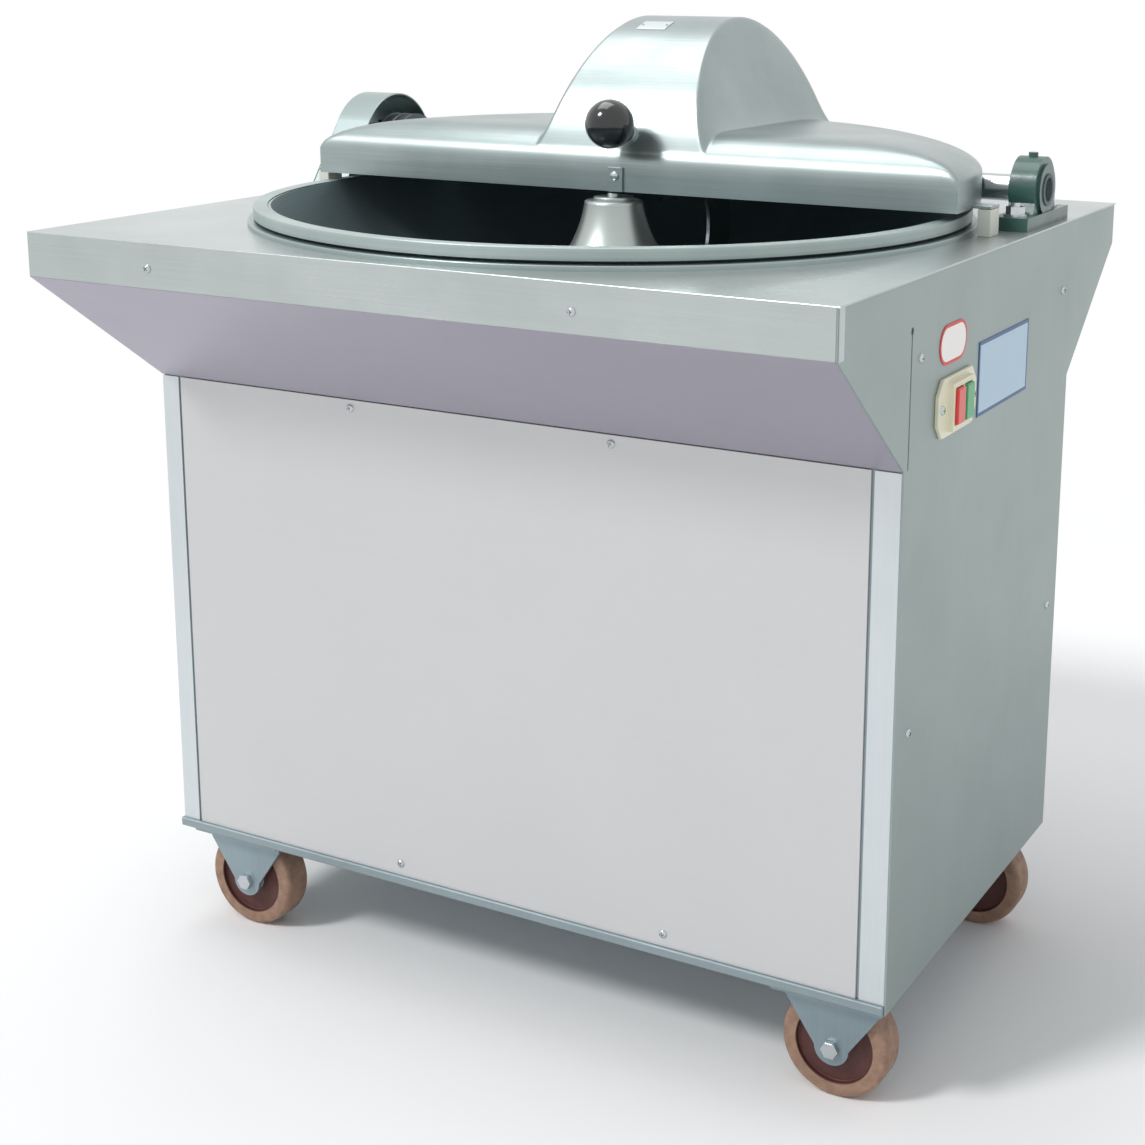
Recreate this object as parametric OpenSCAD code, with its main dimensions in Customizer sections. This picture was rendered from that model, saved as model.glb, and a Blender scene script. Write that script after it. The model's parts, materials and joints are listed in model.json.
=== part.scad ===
// Bowl cutter on a wheeled cabinet: a bowl turns under a hinged cover while
// knives on a cross shaft chop what the bowl carries past them.
// Millimetres. Z is up, X runs along the knife shaft, the operator stands at -Y.
// The origin is on the floor, at the middle of the whole machine's plan.

/* [Table] */
// table length along the knife shaft
table_w = 890; // [880:2:900]
// table depth, front to back
table_d = 805; // [796:1:814]
// height of the table top above the floor
table_h = 820; // [815:1:830]
// thickness of the table sheet
table_t = 2; // [1.5:0.5:2.5]
// depth of the turned-down rim
rim_drop = 46; // [44:1:50]
// thickness of the rim sheet
rim_t = 2; // [1.5:0.5:2.5]
// how far the front rim wraps round the right corner
wrap_w = 10; // [8:1:14]
// thickness of that wrap
wrap_t = 1.5; // [1:0.5:1.5]

/* [Cabinet] */
// height of the sloped skirts
skirt_drop = 127; // [120:1:130]
// how far the cabinet front lies behind the table front
skirt_setback = 157.5; // [155:0.5:160]
// how far the cabinet's left wall lies in from the table's left edge
left_inset = 26; // [24:1:30]
// thickness of skirts and panels
panel_t = 2; // [1.5:0.5:2.5]
// gap between a skirt's lower edge and the panel top below it
panel_top_gap = 1; // [0.5:0.5:1.5]
// width of the left folded edge strip on the front
strip_left_w = 22; // [18:1:26]
// width of the right folded edge strip on the front
strip_right_w = 26; // [24:1:26]
// dark joint between a strip and the front panel
strip_gap = 3; // [2:1:4]
// width of the relief slit in the right side
slit_w = 2.5; // [2:0.5:4]
// distance of that slit from the side's front edge
slit_in = 8; // [6:1:12]
// diameter of the hole that ends the slit
slit_hole_d = 7; // [5:1:9]
// length of the slit above the skirt's lower edge
slit_h = 126; // [110:2:130]

/* [Frame] */
// height of the flat base ring's underside above the floor
base_z = 116; // [114:1:120]
// thickness of the base ring
base_t = 10; // [8:1:10]
// width of the base ring's bars
base_w = 50; // [46:1:56]
// how far the base ring stands out under the front panel
base_lip = 3; // [2:1:4]
// side of the square posts
post_w = 30; // [28:1:32]
// mid rails' underside, below the table top
mid_rail_drop = 350; // [345:1:355]
// width of the beams that carry the gearbox
beam_w = 30; // [26:1:34]
// height of those beams
beam_h = 30; // [28:1:34]
// spacing of those beams, centre to centre
beam_pitch = 92; // [88:1:96]

/* [Bowl] */
// bowl axis, right of the table centre
bowl_x = 8; // [6:1:10]
// bowl axis, behind the table centre
bowl_y = 2; // [0:1:4]
// radius of the bowl's mouth
mouth_r = 364; // [362:1:366]
// height of the bowl's lip above the table
lip_h = 20; // [19:1:21]
// width of the flat lip
lip_w = 18; // [17:1:19]
// thickness of the lip
lip_t = 6; // [5:0.5:7]
// depth of the lip's turned-down edge, from the lip's top
lip_edge_h = 12; // [11:0.5:13]
// thickness of that edge
lip_edge_t = 4; // [3:0.5:5]
// wall of the bowl
bowl_t = 6; // [5:0.5:6.5]
// height of the joint between bowl and hub, below the table
hub_joint_z = 47; // [45:1:50]
// height of the hub's top above the table
hub_top_h = 18; // [16:1:19]
// thickness of the hub's top plate
hub_plate_t = 8; // [6:1:10]
// radius of the hub's top plate bore
hub_bore_r = 11; // [10:0.5:12]
// radius of the bowl's centre hole, on the spindle's pilot
pilot_r = 22; // [20:1:24]
// clearance of the pilot in that hole
pilot_fit = 0.3; // [0.3:0.1:0.5]
// height of the pilot above its flange
pilot_h = 14; // [12:1:16]
// thickness of the bowl's centre web
web_t = 8; // [7:1:9]
// outer radius of that web
web_r = 57; // [56.8:0.2:57.2]

/* [Bowl drive] */
// radius of the flange that carries the bowl
flange_r = 46; // [40:1:48]
// thickness of that flange
flange_t = 12; // [10:1:14]
// radius of the spindle
spindle_r = 22.5; // [20:0.5:25]
// how deep the spindle runs into the gearbox
spindle_in = 70; // [50:5:80]
// running clearance of shafts in their bores
run_fit = 0.05; // [0.03:0.01:0.08]
// radius of the stud that clamps the hub
stud_r = 10; // [8:0.5:10.5]
// radius of the hub's cap
cap_r = 22; // [18:1:24]
// thickness of that cap
cap_t = 4; // [3:0.5:5]
// radius of the stub on the cap
stub_r = 7; // [5:0.5:8]
// clearance between that stub and the cover
stub_gap = 2; // [1:0.5:3]

/* [Table ring] */
// outer radius of the fixed ring around the bowl
ring_r = 388; // [387:0.5:389]
// height of that ring
ring_h = 5; // [4:0.5:6]
// radius of the ring's collar, under the lip
collar_r = 371; // [370.5:0.5:371.5]
// thickness of that collar
collar_t = 3; // [2.5:0.5:3]
// height of that collar above the table
collar_h = 10; // [9:0.5:11]

/* [Knife shaft] */
// shaft axis, behind the table centre
shaft_y = 172; // [171:0.5:173]
// shaft axis above the table
shaft_h = 37; // [36:0.5:38]
// radius of the shaft between the bearings
shaft_r = 14; // [13.5:0.5:14.5]
// radius of the shaft in the bearings
journal_r = 12.5; // [12:0.5:13]
// radius of the circle that the knife tips run on
knife_r = 134; // [130:1:135]
// gap between knife tips and trough
knife_gap = 6; // [5:0.5:8]
// thickness of a knife
knife_t = 4; // [3:0.5:5]
// number of knives
knife_n = 3; // [3:1:3]
// spacing of the knives along the shaft
knife_pitch = 24; // [20:1:28]
// radius of the arc along a knife's back
back_r = 75; // [72:1:78]
// centre of that arc, outward from the shaft
back_out = 62; // [60:1:64]
// centre of that arc, to the side
back_side = 22; // [20:1:24]
// radius of the arc along a knife's edge
edge_r = 72; // [70:1:74]
// centre of that arc, outward from the shaft
edge_out = 88; // [86:1:90]
// centre of that arc, to the other side
edge_side = 22; // [20:1:24]
// radius of the collars between the knives
clamp_r = 30; // [28:1:32]
// length of the clamp nut
nut_l = 16; // [14:1:20]
// width of the clamp nut across its flats
nut_af = 46; // [42:1:50]

/* [Bearings] */
// length of a bearing block's foot, across the shaft
foot_l = 140; // [136:1:142]
// width of a bearing block's foot, along the shaft
foot_w = 38; // [36:1:40]
// thickness of the foot
foot_t = 14; // [12:1:16]
// radius of the bearing block's head
head_r = 34.5; // [34:0.5:36]
// width of the head
head_w = 28; // [26:1:30]
// half width of the block where it meets the foot
neck_half = 38; // [36:1:40]
// radius of the raised ring on each face of the head
face_r = 27; // [26:0.5:29]
// how far that ring stands out
face_out = 3; // [2:0.5:3]
// radius of the turning inner ring
inner_ring_r = 17; // [16.5:0.5:17.5]
// length of the inner ring
inner_ring_l = 37; // [35.5:0.5:38]
// spacing of the foot bolts
foot_bolt_pitch = 105; // [100:1:108]
// width of a bolt head across its flats
bolt_af = 17; // [15:1:19]
// height of a bolt head
bolt_head_h = 8; // [7:1:9]
// diameter of the washer under it
washer_d = 24; // [21:1:26]
// thickness of that washer
washer_t = 2; // [1.5:0.5:2.5]
// diameter of the bolt's thread end
bolt_d = 10; // [8:1:12]
// height of the thread that shows above the head
bolt_end_h = 4; // [3:0.5:6]
// right bearing, in from the table's right edge
bearing_right_in = 28; // [26:1:30]
// left bearing, in from the table's left edge
bearing_left_in = 24; // [23:1:25]
// how far the right shaft end lies inside the inner ring
shaft_recess = 6; // [4:1:8]

/* [Cover] */
// radius of the half-moon cover, about the bowl axis
cover_r = 390; // [389:0.5:391]
// cover front, ahead of the table centre line
cover_front = 4; // [3:0.5:5]
// gap between the bowl's lip and the cover
cover_gap = 8; // [7:0.5:9]
// height of the cover's flat top above the table
cover_top = 93; // [91:1:95]
// height of its upright edge
cover_edge_h = 28; // [26:1:32]
// width of the rounding above the round edge
round_w = 150; // [140:5:160]
// width of the rounding above the straight front
front_round_w = 60; // [50:2:70]
// wall of the cover
cover_t = 3; // [2.5:0.5:3]
// centre of the dome, right of the table centre
dome_x = 14; // [12:1:16]
// outer radius of the dome, about the shaft
dome_r = 172; // [171:0.5:173]
// half width of the dome at the shaft's height
dome_half = 110; // [108:1:112]
// how much each side leans in per unit of height
dome_lean = 0.28; // [0.26:0.01:0.3]
// half width of the slots that clear the shaft
slot_half = 20; // [18:1:22]
// hinge axis, in from the cover's round edge
hinge_in = 14; // [13:0.5:15]
// hinge axis above the table
hinge_h = 52; // [51:0.5:54]
// hinge arms, right and left of the bowl axis
hinge_out = 200; // [195:1:205]
// width of a hinge arm
arm_w = 12; // [10:1:14]
// height of a hinge arm
arm_h = 22; // [18:1:24]
// radius of the hinge eyes
eye_r = 13; // [12:0.5:14]
// radius of the hinge pins
pin_r = 5; // [4:0.5:6]
// side gap in the hinge
hinge_gap = 1; // [0.5:0.5:1.5]
// thickness of the bracket's ears and foot
bracket_t = 5; // [4:0.5:6]
// how far the bracket's foot reaches ahead of the hinge
bracket_front = 22; // [18:1:24]
// how far the bracket's foot reaches behind the hinge
bracket_back = 20; // [18:1:22]
// how far the foot reaches past each ear
bracket_side = 16; // [14:1:20]
// clearance between the cover's round edge and the rest blocks
rest_clear = 3; // [2.5:0.5:4]
// right rest block, behind the table centre
rest_right_y = 48; // [45:1:50]
// left rest block, behind the table centre
rest_left_y = 14; // [12:1:16]
// length of a rest block, front to back
rest_l = 26; // [22:1:28]
// width of a rest block
rest_w = 14; // [12:1:14]
// thickness of the tabs that sit on them
tab_t = 3; // [2.5:0.5:4]
// gap between tab and block
rest_gap = 0.4; // [0.3:0.1:0.6]

/* [Cover fittings] */
// knob and its stem, right of the table centre
knob_x = 22; // [18:1:26]
// rise of the stem above level, in degrees
knob_rise = 17.7; // [15:0.1:20]
// radius of the ball knob
knob_r = 26; // [24:0.5:28]
// distance of the knob's centre from the dome
knob_out = 42; // [38:1:46]
// radius of the knob's stem
stem_r = 6; // [5:0.5:8]
// radius of the stem's collar on the dome
stem_collar_r = 11; // [9:0.5:13]
// height of that collar
stem_collar_h = 5; // [4:0.5:7]
// how deep the stem goes into the knob
stem_in = 8; // [6:1:10]
// width of the small plate on the cover's front edge
catch_w = 18; // [16:1:20]
// height of that plate
catch_h = 26; // [22:1:28]
// thickness of that plate
catch_t = 3; // [2:0.5:4]
// centre of the blank plate on the dome, from the table centre
blank_x = -4; // [-8:1:0]
// width of the blank plate
blank_w = 36; // [32:1:40]
// its place over the dome from level front, in degrees
blank_at = 71; // [68:1:74]
// its arc over the dome, in degrees
blank_arc = 8; // [6:1:10]
// thickness of thin plates
plate_t = 0.8; // [0.6:0.1:1]

/* [Belt guard] */
// outer radius of the guard's arch, about the shaft
guard_r = 72; // [70:1:74]
// width of the guard
guard_w = 48; // [46:1:50]
// sheet of the guard
guard_t = 2; // [1.5:0.5:2]
// half length of the guard's foot
guard_half = 115; // [112:1:118]
// width of the foot flanges that are screwed down
guard_foot = 16; // [14:1:20]

/* [Belt drive] */
// radius of the pulley on the knife shaft
knife_pulley_r = 48; // [46:1:50]
// radius of the motor pulley's two outer grooves
motor_pulley_r = 60; // [56:1:62]
// radius of its inner groove, for the bowl's belt
motor_small_r = 42; // [40:1:44]
// radius of the gearbox pulley
gear_pulley_r = 63; // [60:1:66]
// spacing of the grooves
groove_pitch = 16; // [15:0.5:17]
// width of a groove at its mouth
groove_w = 13; // [12:0.5:13]
// width of a groove at its floor
groove_floor_w = 9.2; // [9:0.1:10]
// depth of a groove
groove_h = 11; // [10:0.5:12]
// width of a belt
belt_w = 8.4; // [8:0.1:8.6]
// depth of the belt's top below the pulley's rim
belt_sunk = 1.5; // [1:0.5:2]
// thickness of a belt
belt_t = 8; // [7:0.5:8.5]
// how far a belt's straight runs lie inside the pulleys' tangents
belt_slack = 0.3; // [0.2:0.1:0.5]
// first groove, in from the table's left edge
knife_groove = 51; // [50:0.5:52]
// centre of the bowl's belt, in from the table's left edge
gear_groove = 90; // [88:0.5:92]
// half width of the belt slot in the table, along the shaft
belt_slot_half = 17; // [16.5:0.5:17.5]
// half length of that slot
belt_slot_long = 64; // [62:1:70]

/* [Motor] */
// motor shaft, behind the table centre
motor_y = 60; // [56:1:64]
// height of the motor shaft above its feet
motor_sh = 100; // [98:1:102]
// radius of the motor's body without its fins
motor_r = 84; // [80:1:86]
// length of the finned body
motor_l = 210; // [200:5:220]
// face of the motor's drive end, in from the table's left edge
motor_face_in = 123; // [121:1:125]
// length of each end bell
bell_l = 24; // [20:1:28]
// height of the cooling fins
fin_h = 9; // [7:1:10]
// thickness of a fin
fin_t = 3; // [2.5:0.5:4]
// number of fins
fin_n = 24; // [20:4:28]
// length of the feet
foot_pad_l = 170; // [160:5:180]
// width across the feet
foot_span = 200; // [190:2:206]
// thickness of the feet
foot_pad_t = 14; // [12:1:16]
// radius of the motor shaft
motor_shaft_r = 14; // [12:1:15]
// length of the fan cowl
cowl_l = 56; // [50:1:62]
// wall of the cowl
cowl_t = 2; // [2:0.5:3]
// number of slots in the cowl
cowl_slots = 10; // [8:1:12]
// height of the motor rails
rail_h = 38; // [34:1:42]
// width of the motor rails
rail_w = 36; // [32:1:40]

/* [Gearbox] */
// worm shaft, behind the bowl axis
worm_out = 75; // [72:1:78]
// height of the worm shaft above the gearbox's base
worm_h = 60; // [58:1:62]
// radius of the wheel case
wheel_case_r = 66; // [62:1:70]
// height of the gearbox
gearbox_h = 140; // [136:1:144]
// radius of the worm case
worm_case_r = 38; // [36:1:40]
// length of the worm case
worm_case_l = 170; // [160:2:180]
// side of the square base plate
gear_base_w = 150; // [146:1:154]
// thickness of that plate
gear_base_t = 12; // [10:1:14]
// radius of the worm shaft
worm_shaft_r = 12.5; // [12:0.5:12.5]
// how deep the shafts run into their cases
shaft_in = 40; // [30:2:60]
// bearing block of the worm shaft, in from the table's left edge
third_bearing_in = 134; // [131:1:137]

/* [Switch] */
// switch centre, ahead of the table centre
switch_y = 122; // [118:1:126]
// switch centre below the table
switch_drop = 132; // [128:1:136]
// length of the switch plate
switch_l = 102; // [98:1:106]
// height of the switch plate
switch_h = 56; // [54:1:60]
// thickness of that plate
switch_t = 4; // [3:0.5:5]
// length of the raised frame
hood_l = 54; // [50:1:58]
// height of the raised frame
hood_h = 46; // [44:1:48]
// how far the frame stands out of the panel
hood_out = 10; // [9:0.5:11]
// width of a push button
button_w = 20; // [18:1:21]
// height of a push button
button_h = 34; // [32:1:36]
// how far a button stands out of the frame
button_out = 3; // [2.5:0.5:3.5]
// travel of a button
button_travel = 3; // [2:0.5:3]
// gap around a button
button_gap = 0.5; // [0.4:0.1:0.7]
// rib between the buttons
button_rib = 3; // [2:0.5:4]

/* [Plates] */
// round plate's centre, ahead of the table centre
round_y = 130; // [126:1:134]
// round plate's centre below the table
round_drop = 74; // [72:1:76]
// length of the round plate
round_l = 72; // [68:1:76]
// height of the round plate
round_h = 38; // [36:1:40]
// rating plate's front edge, ahead of the table centre
rating_y = 56; // [54:1:58]
// rating plate's top below the table
rating_drop = 87; // [85:1:90]
// length of the rating plate
rating_l = 152; // [146:2:156]
// height of the rating plate
rating_h = 74; // [70:1:76]

/* [Screws] */
// upper front screws, left of the table centre
upper_screw_left = 165; // [150:1:180]
// upper front screws, right of the table centre
upper_screw_right = 145; // [130:1:160]
// lower front screws, left of the table centre
lower_screw_left = 115; // [100:1:130]
// lower front screws, right of the table centre
lower_screw_right = 205; // [190:1:220]
// height of the lower screws above the base ring
lower_screw_h = 14; // [10:1:20]
// rim screws, left of the table centre
rim_screw_left = 286; // [270:1:300]
// rim screws, right of the table centre
rim_screw_right = 195; // [180:1:210]
// rim screws below the table
rim_screw_drop = 26; // [20:1:30]
// side screws, in from the side's edges
side_screw_in = 32; // [26:1:38]
// upper side screws below the table
side_screw_drop = 75; // [70:1:80]
// lower side screws below the table
side_screw_low = 430; // [400:5:460]
// diameter of the panel screws' heads
screw_d = 9; // [8:0.5:10]
// height of those heads
screw_h = 3; // [2:0.5:4]

/* [Casters] */
// radius of the wheels
wheel_r = 56; // [54:0.5:57]
// width of the wheels
wheel_w = 36; // [34:1:38]
// radius of the rounded tread edge
tread_round = 6; // [4:1:8]
// radius of the wheel's core
core_r = 40; // [38:1:42]
// radius of the wheel's hub
wheel_hub_r = 15; // [13:1:17]
// width over the wheel's hub
wheel_hub_w = 40; // [39:0.5:40.5]
// depth of the dish between hub and core
dish_h = 5; // [4:1:6]
// right casters, in from the cabinet's inner right side
caster_right_in = 59.5; // [58:0.5:63]
// left casters, in from the cabinet's left side
caster_left_in = 73; // [70:1:76]
// front and rear casters, in from the cabinet's front and rear
caster_in = 42; // [40:1:45]
// length of the mounting plate
caster_plate_l = 116; // [112:1:118]
// width of the mounting plate
caster_plate_w = 84; // [80:1:86]
// thickness of the mounting plate
caster_plate_t = 3; // [2.5:0.5:3]
// inside half width of the fork
fork_half = 21; // [20.8:0.2:22]
// thickness of the fork's sides
fork_t = 4; // [3:0.5:4]
// width of a fork side at its top
fork_top_w = 98; // [94:1:102]
// radius of a fork side's rounded tip
fork_tip_r = 18; // [16:1:20]
// height of a fork side's upright part
fork_edge_h = 12; // [10:1:16]
// radius of an axle bolt
axle_r = 5; // [4.5:0.5:6]
// width of an axle bolt's head across its flats
axle_af = 16; // [14:1:18]
// height of an axle bolt's head
axle_head_h = 6; // [5:0.5:8]

/* [Rear] */
// number of louvre rows in the rear panel
louvre_rows = 8; // [6:1:8]
// number of louvre columns
louvre_cols = 3; // [3:1:3]
// length of a louvre
louvre_l = 150; // [130:5:160]
// height of a louvre
louvre_h = 7; // [6:1:8]
// spacing of the rows
louvre_pitch = 24; // [22:1:26]
// diameter of the cable gland's body
gland_d = 24; // [22:1:28]
// how far the gland stands out
gland_out = 14; // [12:1:16]
// diameter of the hole for the mains cable
gland_bore = 9; // [8:1:12]
// gland below the table
gland_drop = 560; // [540:5:580]
// gland, left of the table centre
gland_x = 300; // [280:5:320]

/* [Hidden] */
$fn = 96;
cut = 1;
far = 2 * table_w;
side_face = table_w / 2 - wrap_t;
switch_out = hood_out + button_out;
mid_x = -(switch_out - wrap_t) / 2;
table_half_w = table_w / 2;
table_half_d = table_d / 2;
mid_rail_z = table_h - mid_rail_drop;
bearing_right_x = table_half_w - bearing_right_in;
bearing_left_x = table_half_w - bearing_left_in;
third_bearing_x = third_bearing_in - table_half_w;
motor_face_x = motor_face_in - table_half_w;
rim_z = table_h - rim_drop;
skirt_z = rim_z - skirt_drop;
panel_z = base_z + base_t;
floor_z = panel_z + panel_t;
panel_top = skirt_z - panel_top_gap;
cab_half = table_half_d - skirt_setback;
cab_left = left_inset - table_half_w;
side_in = side_face - panel_t;
caster_right = side_in - caster_right_in;
caster_left = -cab_left - caster_left_in;
caster_y = cab_half - caster_in;
shaft_z = table_h + shaft_h;
trough_r = knife_r + knife_gap;
trough_x = shaft_y - bowl_y;
trough_z = shaft_h;
lip_z = table_h + lip_h;
flare_dx = mouth_r - trough_x;
flare_dz = lip_h - (trough_z - trough_r);
flare_r = (flare_dx * flare_dx + flare_dz * flare_dz) / (2 * flare_dz);
flare_z = trough_z - trough_r + flare_r;
lip_r = mouth_r + lip_w;
web_z = table_h - hub_joint_z;
flange_z = web_z - web_t;
spindle_top = flange_z - flange_t;
beam_z = mid_rail_z + post_w;
gear_z = beam_z + beam_h;
gear_top = gear_z + gearbox_h;
worm_y = bowl_y + worm_out;
worm_z = gear_z + worm_h;
rail_z = floor_z;
motor_z = rail_z + rail_h + motor_sh;
groove_1 = knife_groove - table_half_w;
groove_2 = groove_1 + groove_pitch;
groove_3 = gear_groove - table_half_w;
groove_side = groove_w / 2 + (groove_pitch - groove_w) / 2 + cut;
cover_z = lip_z + cover_gap;
cover_flat = table_h + cover_top;
cover_side_z = cover_z + cover_edge_h;
round_rise = cover_flat - cover_side_z;
dome_top_lean = dome_lean * dome_r;
stub_h = cover_z - stub_gap - table_h - hub_top_h - cap_t;
hinge_y = bowl_y + cover_r - hinge_in;
rest_out = cover_r + rest_clear;
hinge_z = table_h + hinge_h;
rest_top = cover_z - rest_gap;
foot_z = shaft_z - table_h;
axle_z = wheel_r;
caster_plate_z = base_z - caster_plate_t;
switch_z = table_h - switch_drop;
button_pitch = button_w + button_rib + 2 * button_gap;
arc_steps = [0 : 1 / 6 : 1];

// ---------- shared shapes ----------

// box between two corners
module span(a, b) {
  translate(a)
    cube(b - a);
}

// rod along X
module rod(r, x0, x1) {
  translate([x0, 0, 0])
    rotate([0, 90, 0])
      cylinder(r = r, h = x1 - x0);
}

// outline in Y and Z, drawn out along X
module across(x0, x1) {
  translate([x0, 0, 0])
    rotate([90, 0, 90])
      linear_extrude(x1 - x0)
        children();
}

// outline in X and Z, drawn out along Y
module along(y0, y1) {
  translate([0, y1, 0])
    rotate([90, 0, 0])
      linear_extrude(y1 - y0)
        children();
}

// places its children at the knife shaft's axis
module at_shaft() {
  translate([mid_x, shaft_y, shaft_z])
    children();
}

// places its children at the bowl's axis, at table height
module at_bowl() {
  translate([mid_x + bowl_x, bowl_y, table_h])
    children();
}

// places its children at the table's centre, on the floor
module at_mid() {
  translate([mid_x, 0, 0])
    children();
}

// six-sided outline, width af across its flats
module hexagon(af) {
  hex_r = af / sqrt(3);
  polygon([for (i = [0 : 5]) hex_r * [cos(60 * i), sin(60 * i)]]);
}

// hexagon prism up Z
module hex_block(af, h) {
  linear_extrude(h)
    hexagon(af);
}

// point where a line from p touches the circle (c, r); side is 1 or -1
function touch(c, r, p, side) =
  let (d = norm(p - c), a = atan2(p[1] - c[1], p[0] - c[0]), b = acos(r / d))
  c + r * [cos(a - side * b), sin(a - side * b)];

// outline that a belt of the given growth encloses around two pulleys
module belt_outline(c1, r1, c2, r2, grow) {
  run = norm(c2 - c1);
  base = atan2(c2[1] - c1[1], c2[0] - c1[0]);
  lean = acos((r1 - r2) / run);
  n1 = [cos(base + lean), sin(base + lean)];
  n2 = [cos(base - lean), sin(base - lean)];
  ra = r1 + grow;
  rb = r2 + grow;
  pa = ra - belt_slack;
  pb = rb - belt_slack;
  union() {
    translate(c1)
      circle(r = ra);
    translate(c2)
      circle(r = rb);
    polygon([c1 + pa * n1, c2 + pb * n1, c2 + pb * n2, c1 + pa * n2]);
  }
}

// one belt between two pulleys, centred on x
module belt(x, c1, r1, c2, r2) {
  across(x - belt_w / 2, x + belt_w / 2)
    difference() {
      belt_outline(c1, r1, c2, r2, -belt_sunk);
      belt_outline(c1, r1, c2, r2, -belt_sunk - belt_t);
    }
}

// V-shaped cut around a pulley on the X axis
module groove(x, r) {
  translate([x, 0, 0])
    rotate([0, 90, 0])
      rotate_extrude()
        polygon([[r - groove_h, -groove_floor_w / 2], [r + cut, -groove_w / 2],
          [r + cut, groove_w / 2], [r - groove_h, groove_floor_w / 2]]);
}

// round-headed panel screw, its head up Z
module screw_head() {
  intersection() {
    cylinder(d = screw_d, h = screw_h, $fn = 32);
    translate([0, 0, screw_h - screw_d])
      sphere(r = screw_d, $fn = 32);
  }
}

// hexagon bolt with its washer, seated at z = 0
module hex_bolt() {
  cylinder(d = washer_d, h = washer_t, $fn = 48);
  translate([0, 0, washer_t])
    hex_block(bolt_af, bolt_head_h);
  translate([0, 0, washer_t + bolt_head_h])
    cylinder(d = bolt_d, h = bolt_end_h, $fn = 32);
}

// bearing block around the X axis, its foot resting at -foot_z
module bearing_block() {
  difference() {
    union() {
      rod(head_r, -head_w / 2, head_w / 2);
      across(-head_w / 2, head_w / 2)
        polygon([[-neck_half, foot_t - foot_z], [-face_r, 0], [face_r, 0],
          [neck_half, foot_t - foot_z]]);
      span([-foot_w / 2, -foot_l / 2, -foot_z], [foot_w / 2, foot_l / 2, foot_t - foot_z]);
      rod(face_r, -head_w / 2 - face_out, head_w / 2 + face_out);
      translate([0, 0, head_r - washer_t])
        cylinder(d = bolt_d, h = washer_t + bolt_end_h, $fn = 32);
    }
    rod(inner_ring_r + run_fit, -foot_w, foot_w);
  }
}

// ---------- frame and cabinet ----------

module base_frame() {
  color("#8f9a9c")
    at_mid()
      difference() {
        span([cab_left - base_lip, -cab_half - base_lip, base_z],
          [side_in, cab_half + base_lip, base_z + base_t]);
        span([cab_left - base_lip + base_w, base_w - cab_half - base_lip, base_z - cut],
          [side_in - base_w, cab_half + base_lip - base_w, base_z + base_t + cut]);
      }
}

// sheet that closes the cabinet from below
module bottom_panel() {
  color("#b4bcbc")
    at_mid()
      span([cab_left + panel_t, panel_t - cab_half, panel_z], [side_in, cab_half - panel_t, floor_z]);
}

// square posts, rails and top rails inside the panels
module inner_frame() {
  post_x = [cab_left + panel_t, side_in - post_w];
  post_y = [panel_t - cab_half, cab_half - panel_t - post_w];
  top_rail_z = table_h - table_t - post_w;
  color("#8f9a9c")
    at_mid() {
      for (x = post_x)
        for (y = post_y)
          span([x, y, floor_z], [x + post_w, y + post_w, table_h - table_t]);
      span([post_x[0], post_y[0] + post_w, top_rail_z],
        [groove_1 - groove_pitch / 2 - cut, post_y[1], table_h - table_t]);
      span([post_x[1], post_y[0] + post_w, top_rail_z], [side_in, post_y[1], table_h - table_t]);
      for (y = post_y)
        span([post_x[0] + post_w, y, mid_rail_z], [post_x[1], y + post_w, mid_rail_z + post_w]);
    }
}

module table_top() {
  color("#b9c8c6")
    at_mid()
      difference() {
        union() {
          span([-table_half_w, -table_half_d, table_h - table_t],
            [table_half_w, table_half_d, table_h]);
          span([-table_half_w, -table_half_d, rim_z], [side_face - panel_t, rim_t - table_half_d, table_h]);
          span([-table_half_w, table_half_d - rim_t, rim_z], [side_face - panel_t, table_half_d, table_h]);
          span([-table_half_w, -table_half_d, rim_z], [rim_t - table_half_w, table_half_d, table_h]);
          span([side_face, -table_half_d, rim_z], [table_half_w, wrap_w - table_half_d, table_h]);
        }
        translate([bowl_x, bowl_y, table_h - table_t - cut])
          cylinder(r = collar_r - collar_t, h = table_t + 2 * cut, $fn = 180);
        span([groove_1 + groove_pitch / 2 - belt_slot_half, shaft_y - belt_slot_long, table_h - table_t - cut],
          [groove_1 + groove_pitch / 2 + belt_slot_half, shaft_y + belt_slot_long, table_h + cut]);
      }
}

// sloped sheet between the front rim and the front panel, at y < 0
module sloped_front() {
  intersection() {
    across(-table_half_w, side_in)
      polygon([[-table_half_d, rim_z], [-cab_half, skirt_z], [panel_t - cab_half, skirt_z],
        [panel_t - table_half_d, rim_z]]);
    along(-table_half_d - cut, table_half_d + cut)
      polygon([[-table_half_w, rim_z], [side_in, rim_z], [side_in, skirt_z], [cab_left, skirt_z]]);
  }
}

module front_skirt() {
  color("#a9a9b8")
    at_mid()
      sloped_front();
}

module rear_skirt() {
  color("#a9a9b8")
    at_mid()
      mirror([0, 1, 0])
        sloped_front();
}

module left_skirt() {
  color("#a9a9b8")
    at_mid()
      intersection() {
        along(-table_half_d, table_half_d)
          polygon([[-table_half_w, rim_z], [cab_left, skirt_z], [cab_left + panel_t, skirt_z],
            [panel_t - table_half_w, rim_z]]);
        across(-table_half_w - cut, 0)
          polygon([[panel_t - table_half_d, rim_z], [table_half_d - panel_t, rim_z],
            [cab_half - panel_t, skirt_z], [panel_t - cab_half, skirt_z]]);
      }
}

module front_panel() {
  color("#cdcdd0")
    at_mid()
      span([cab_left + strip_left_w + strip_gap, -cab_half, panel_z],
        [side_in - strip_right_w - strip_gap, panel_t - cab_half, panel_top]);
}

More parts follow.
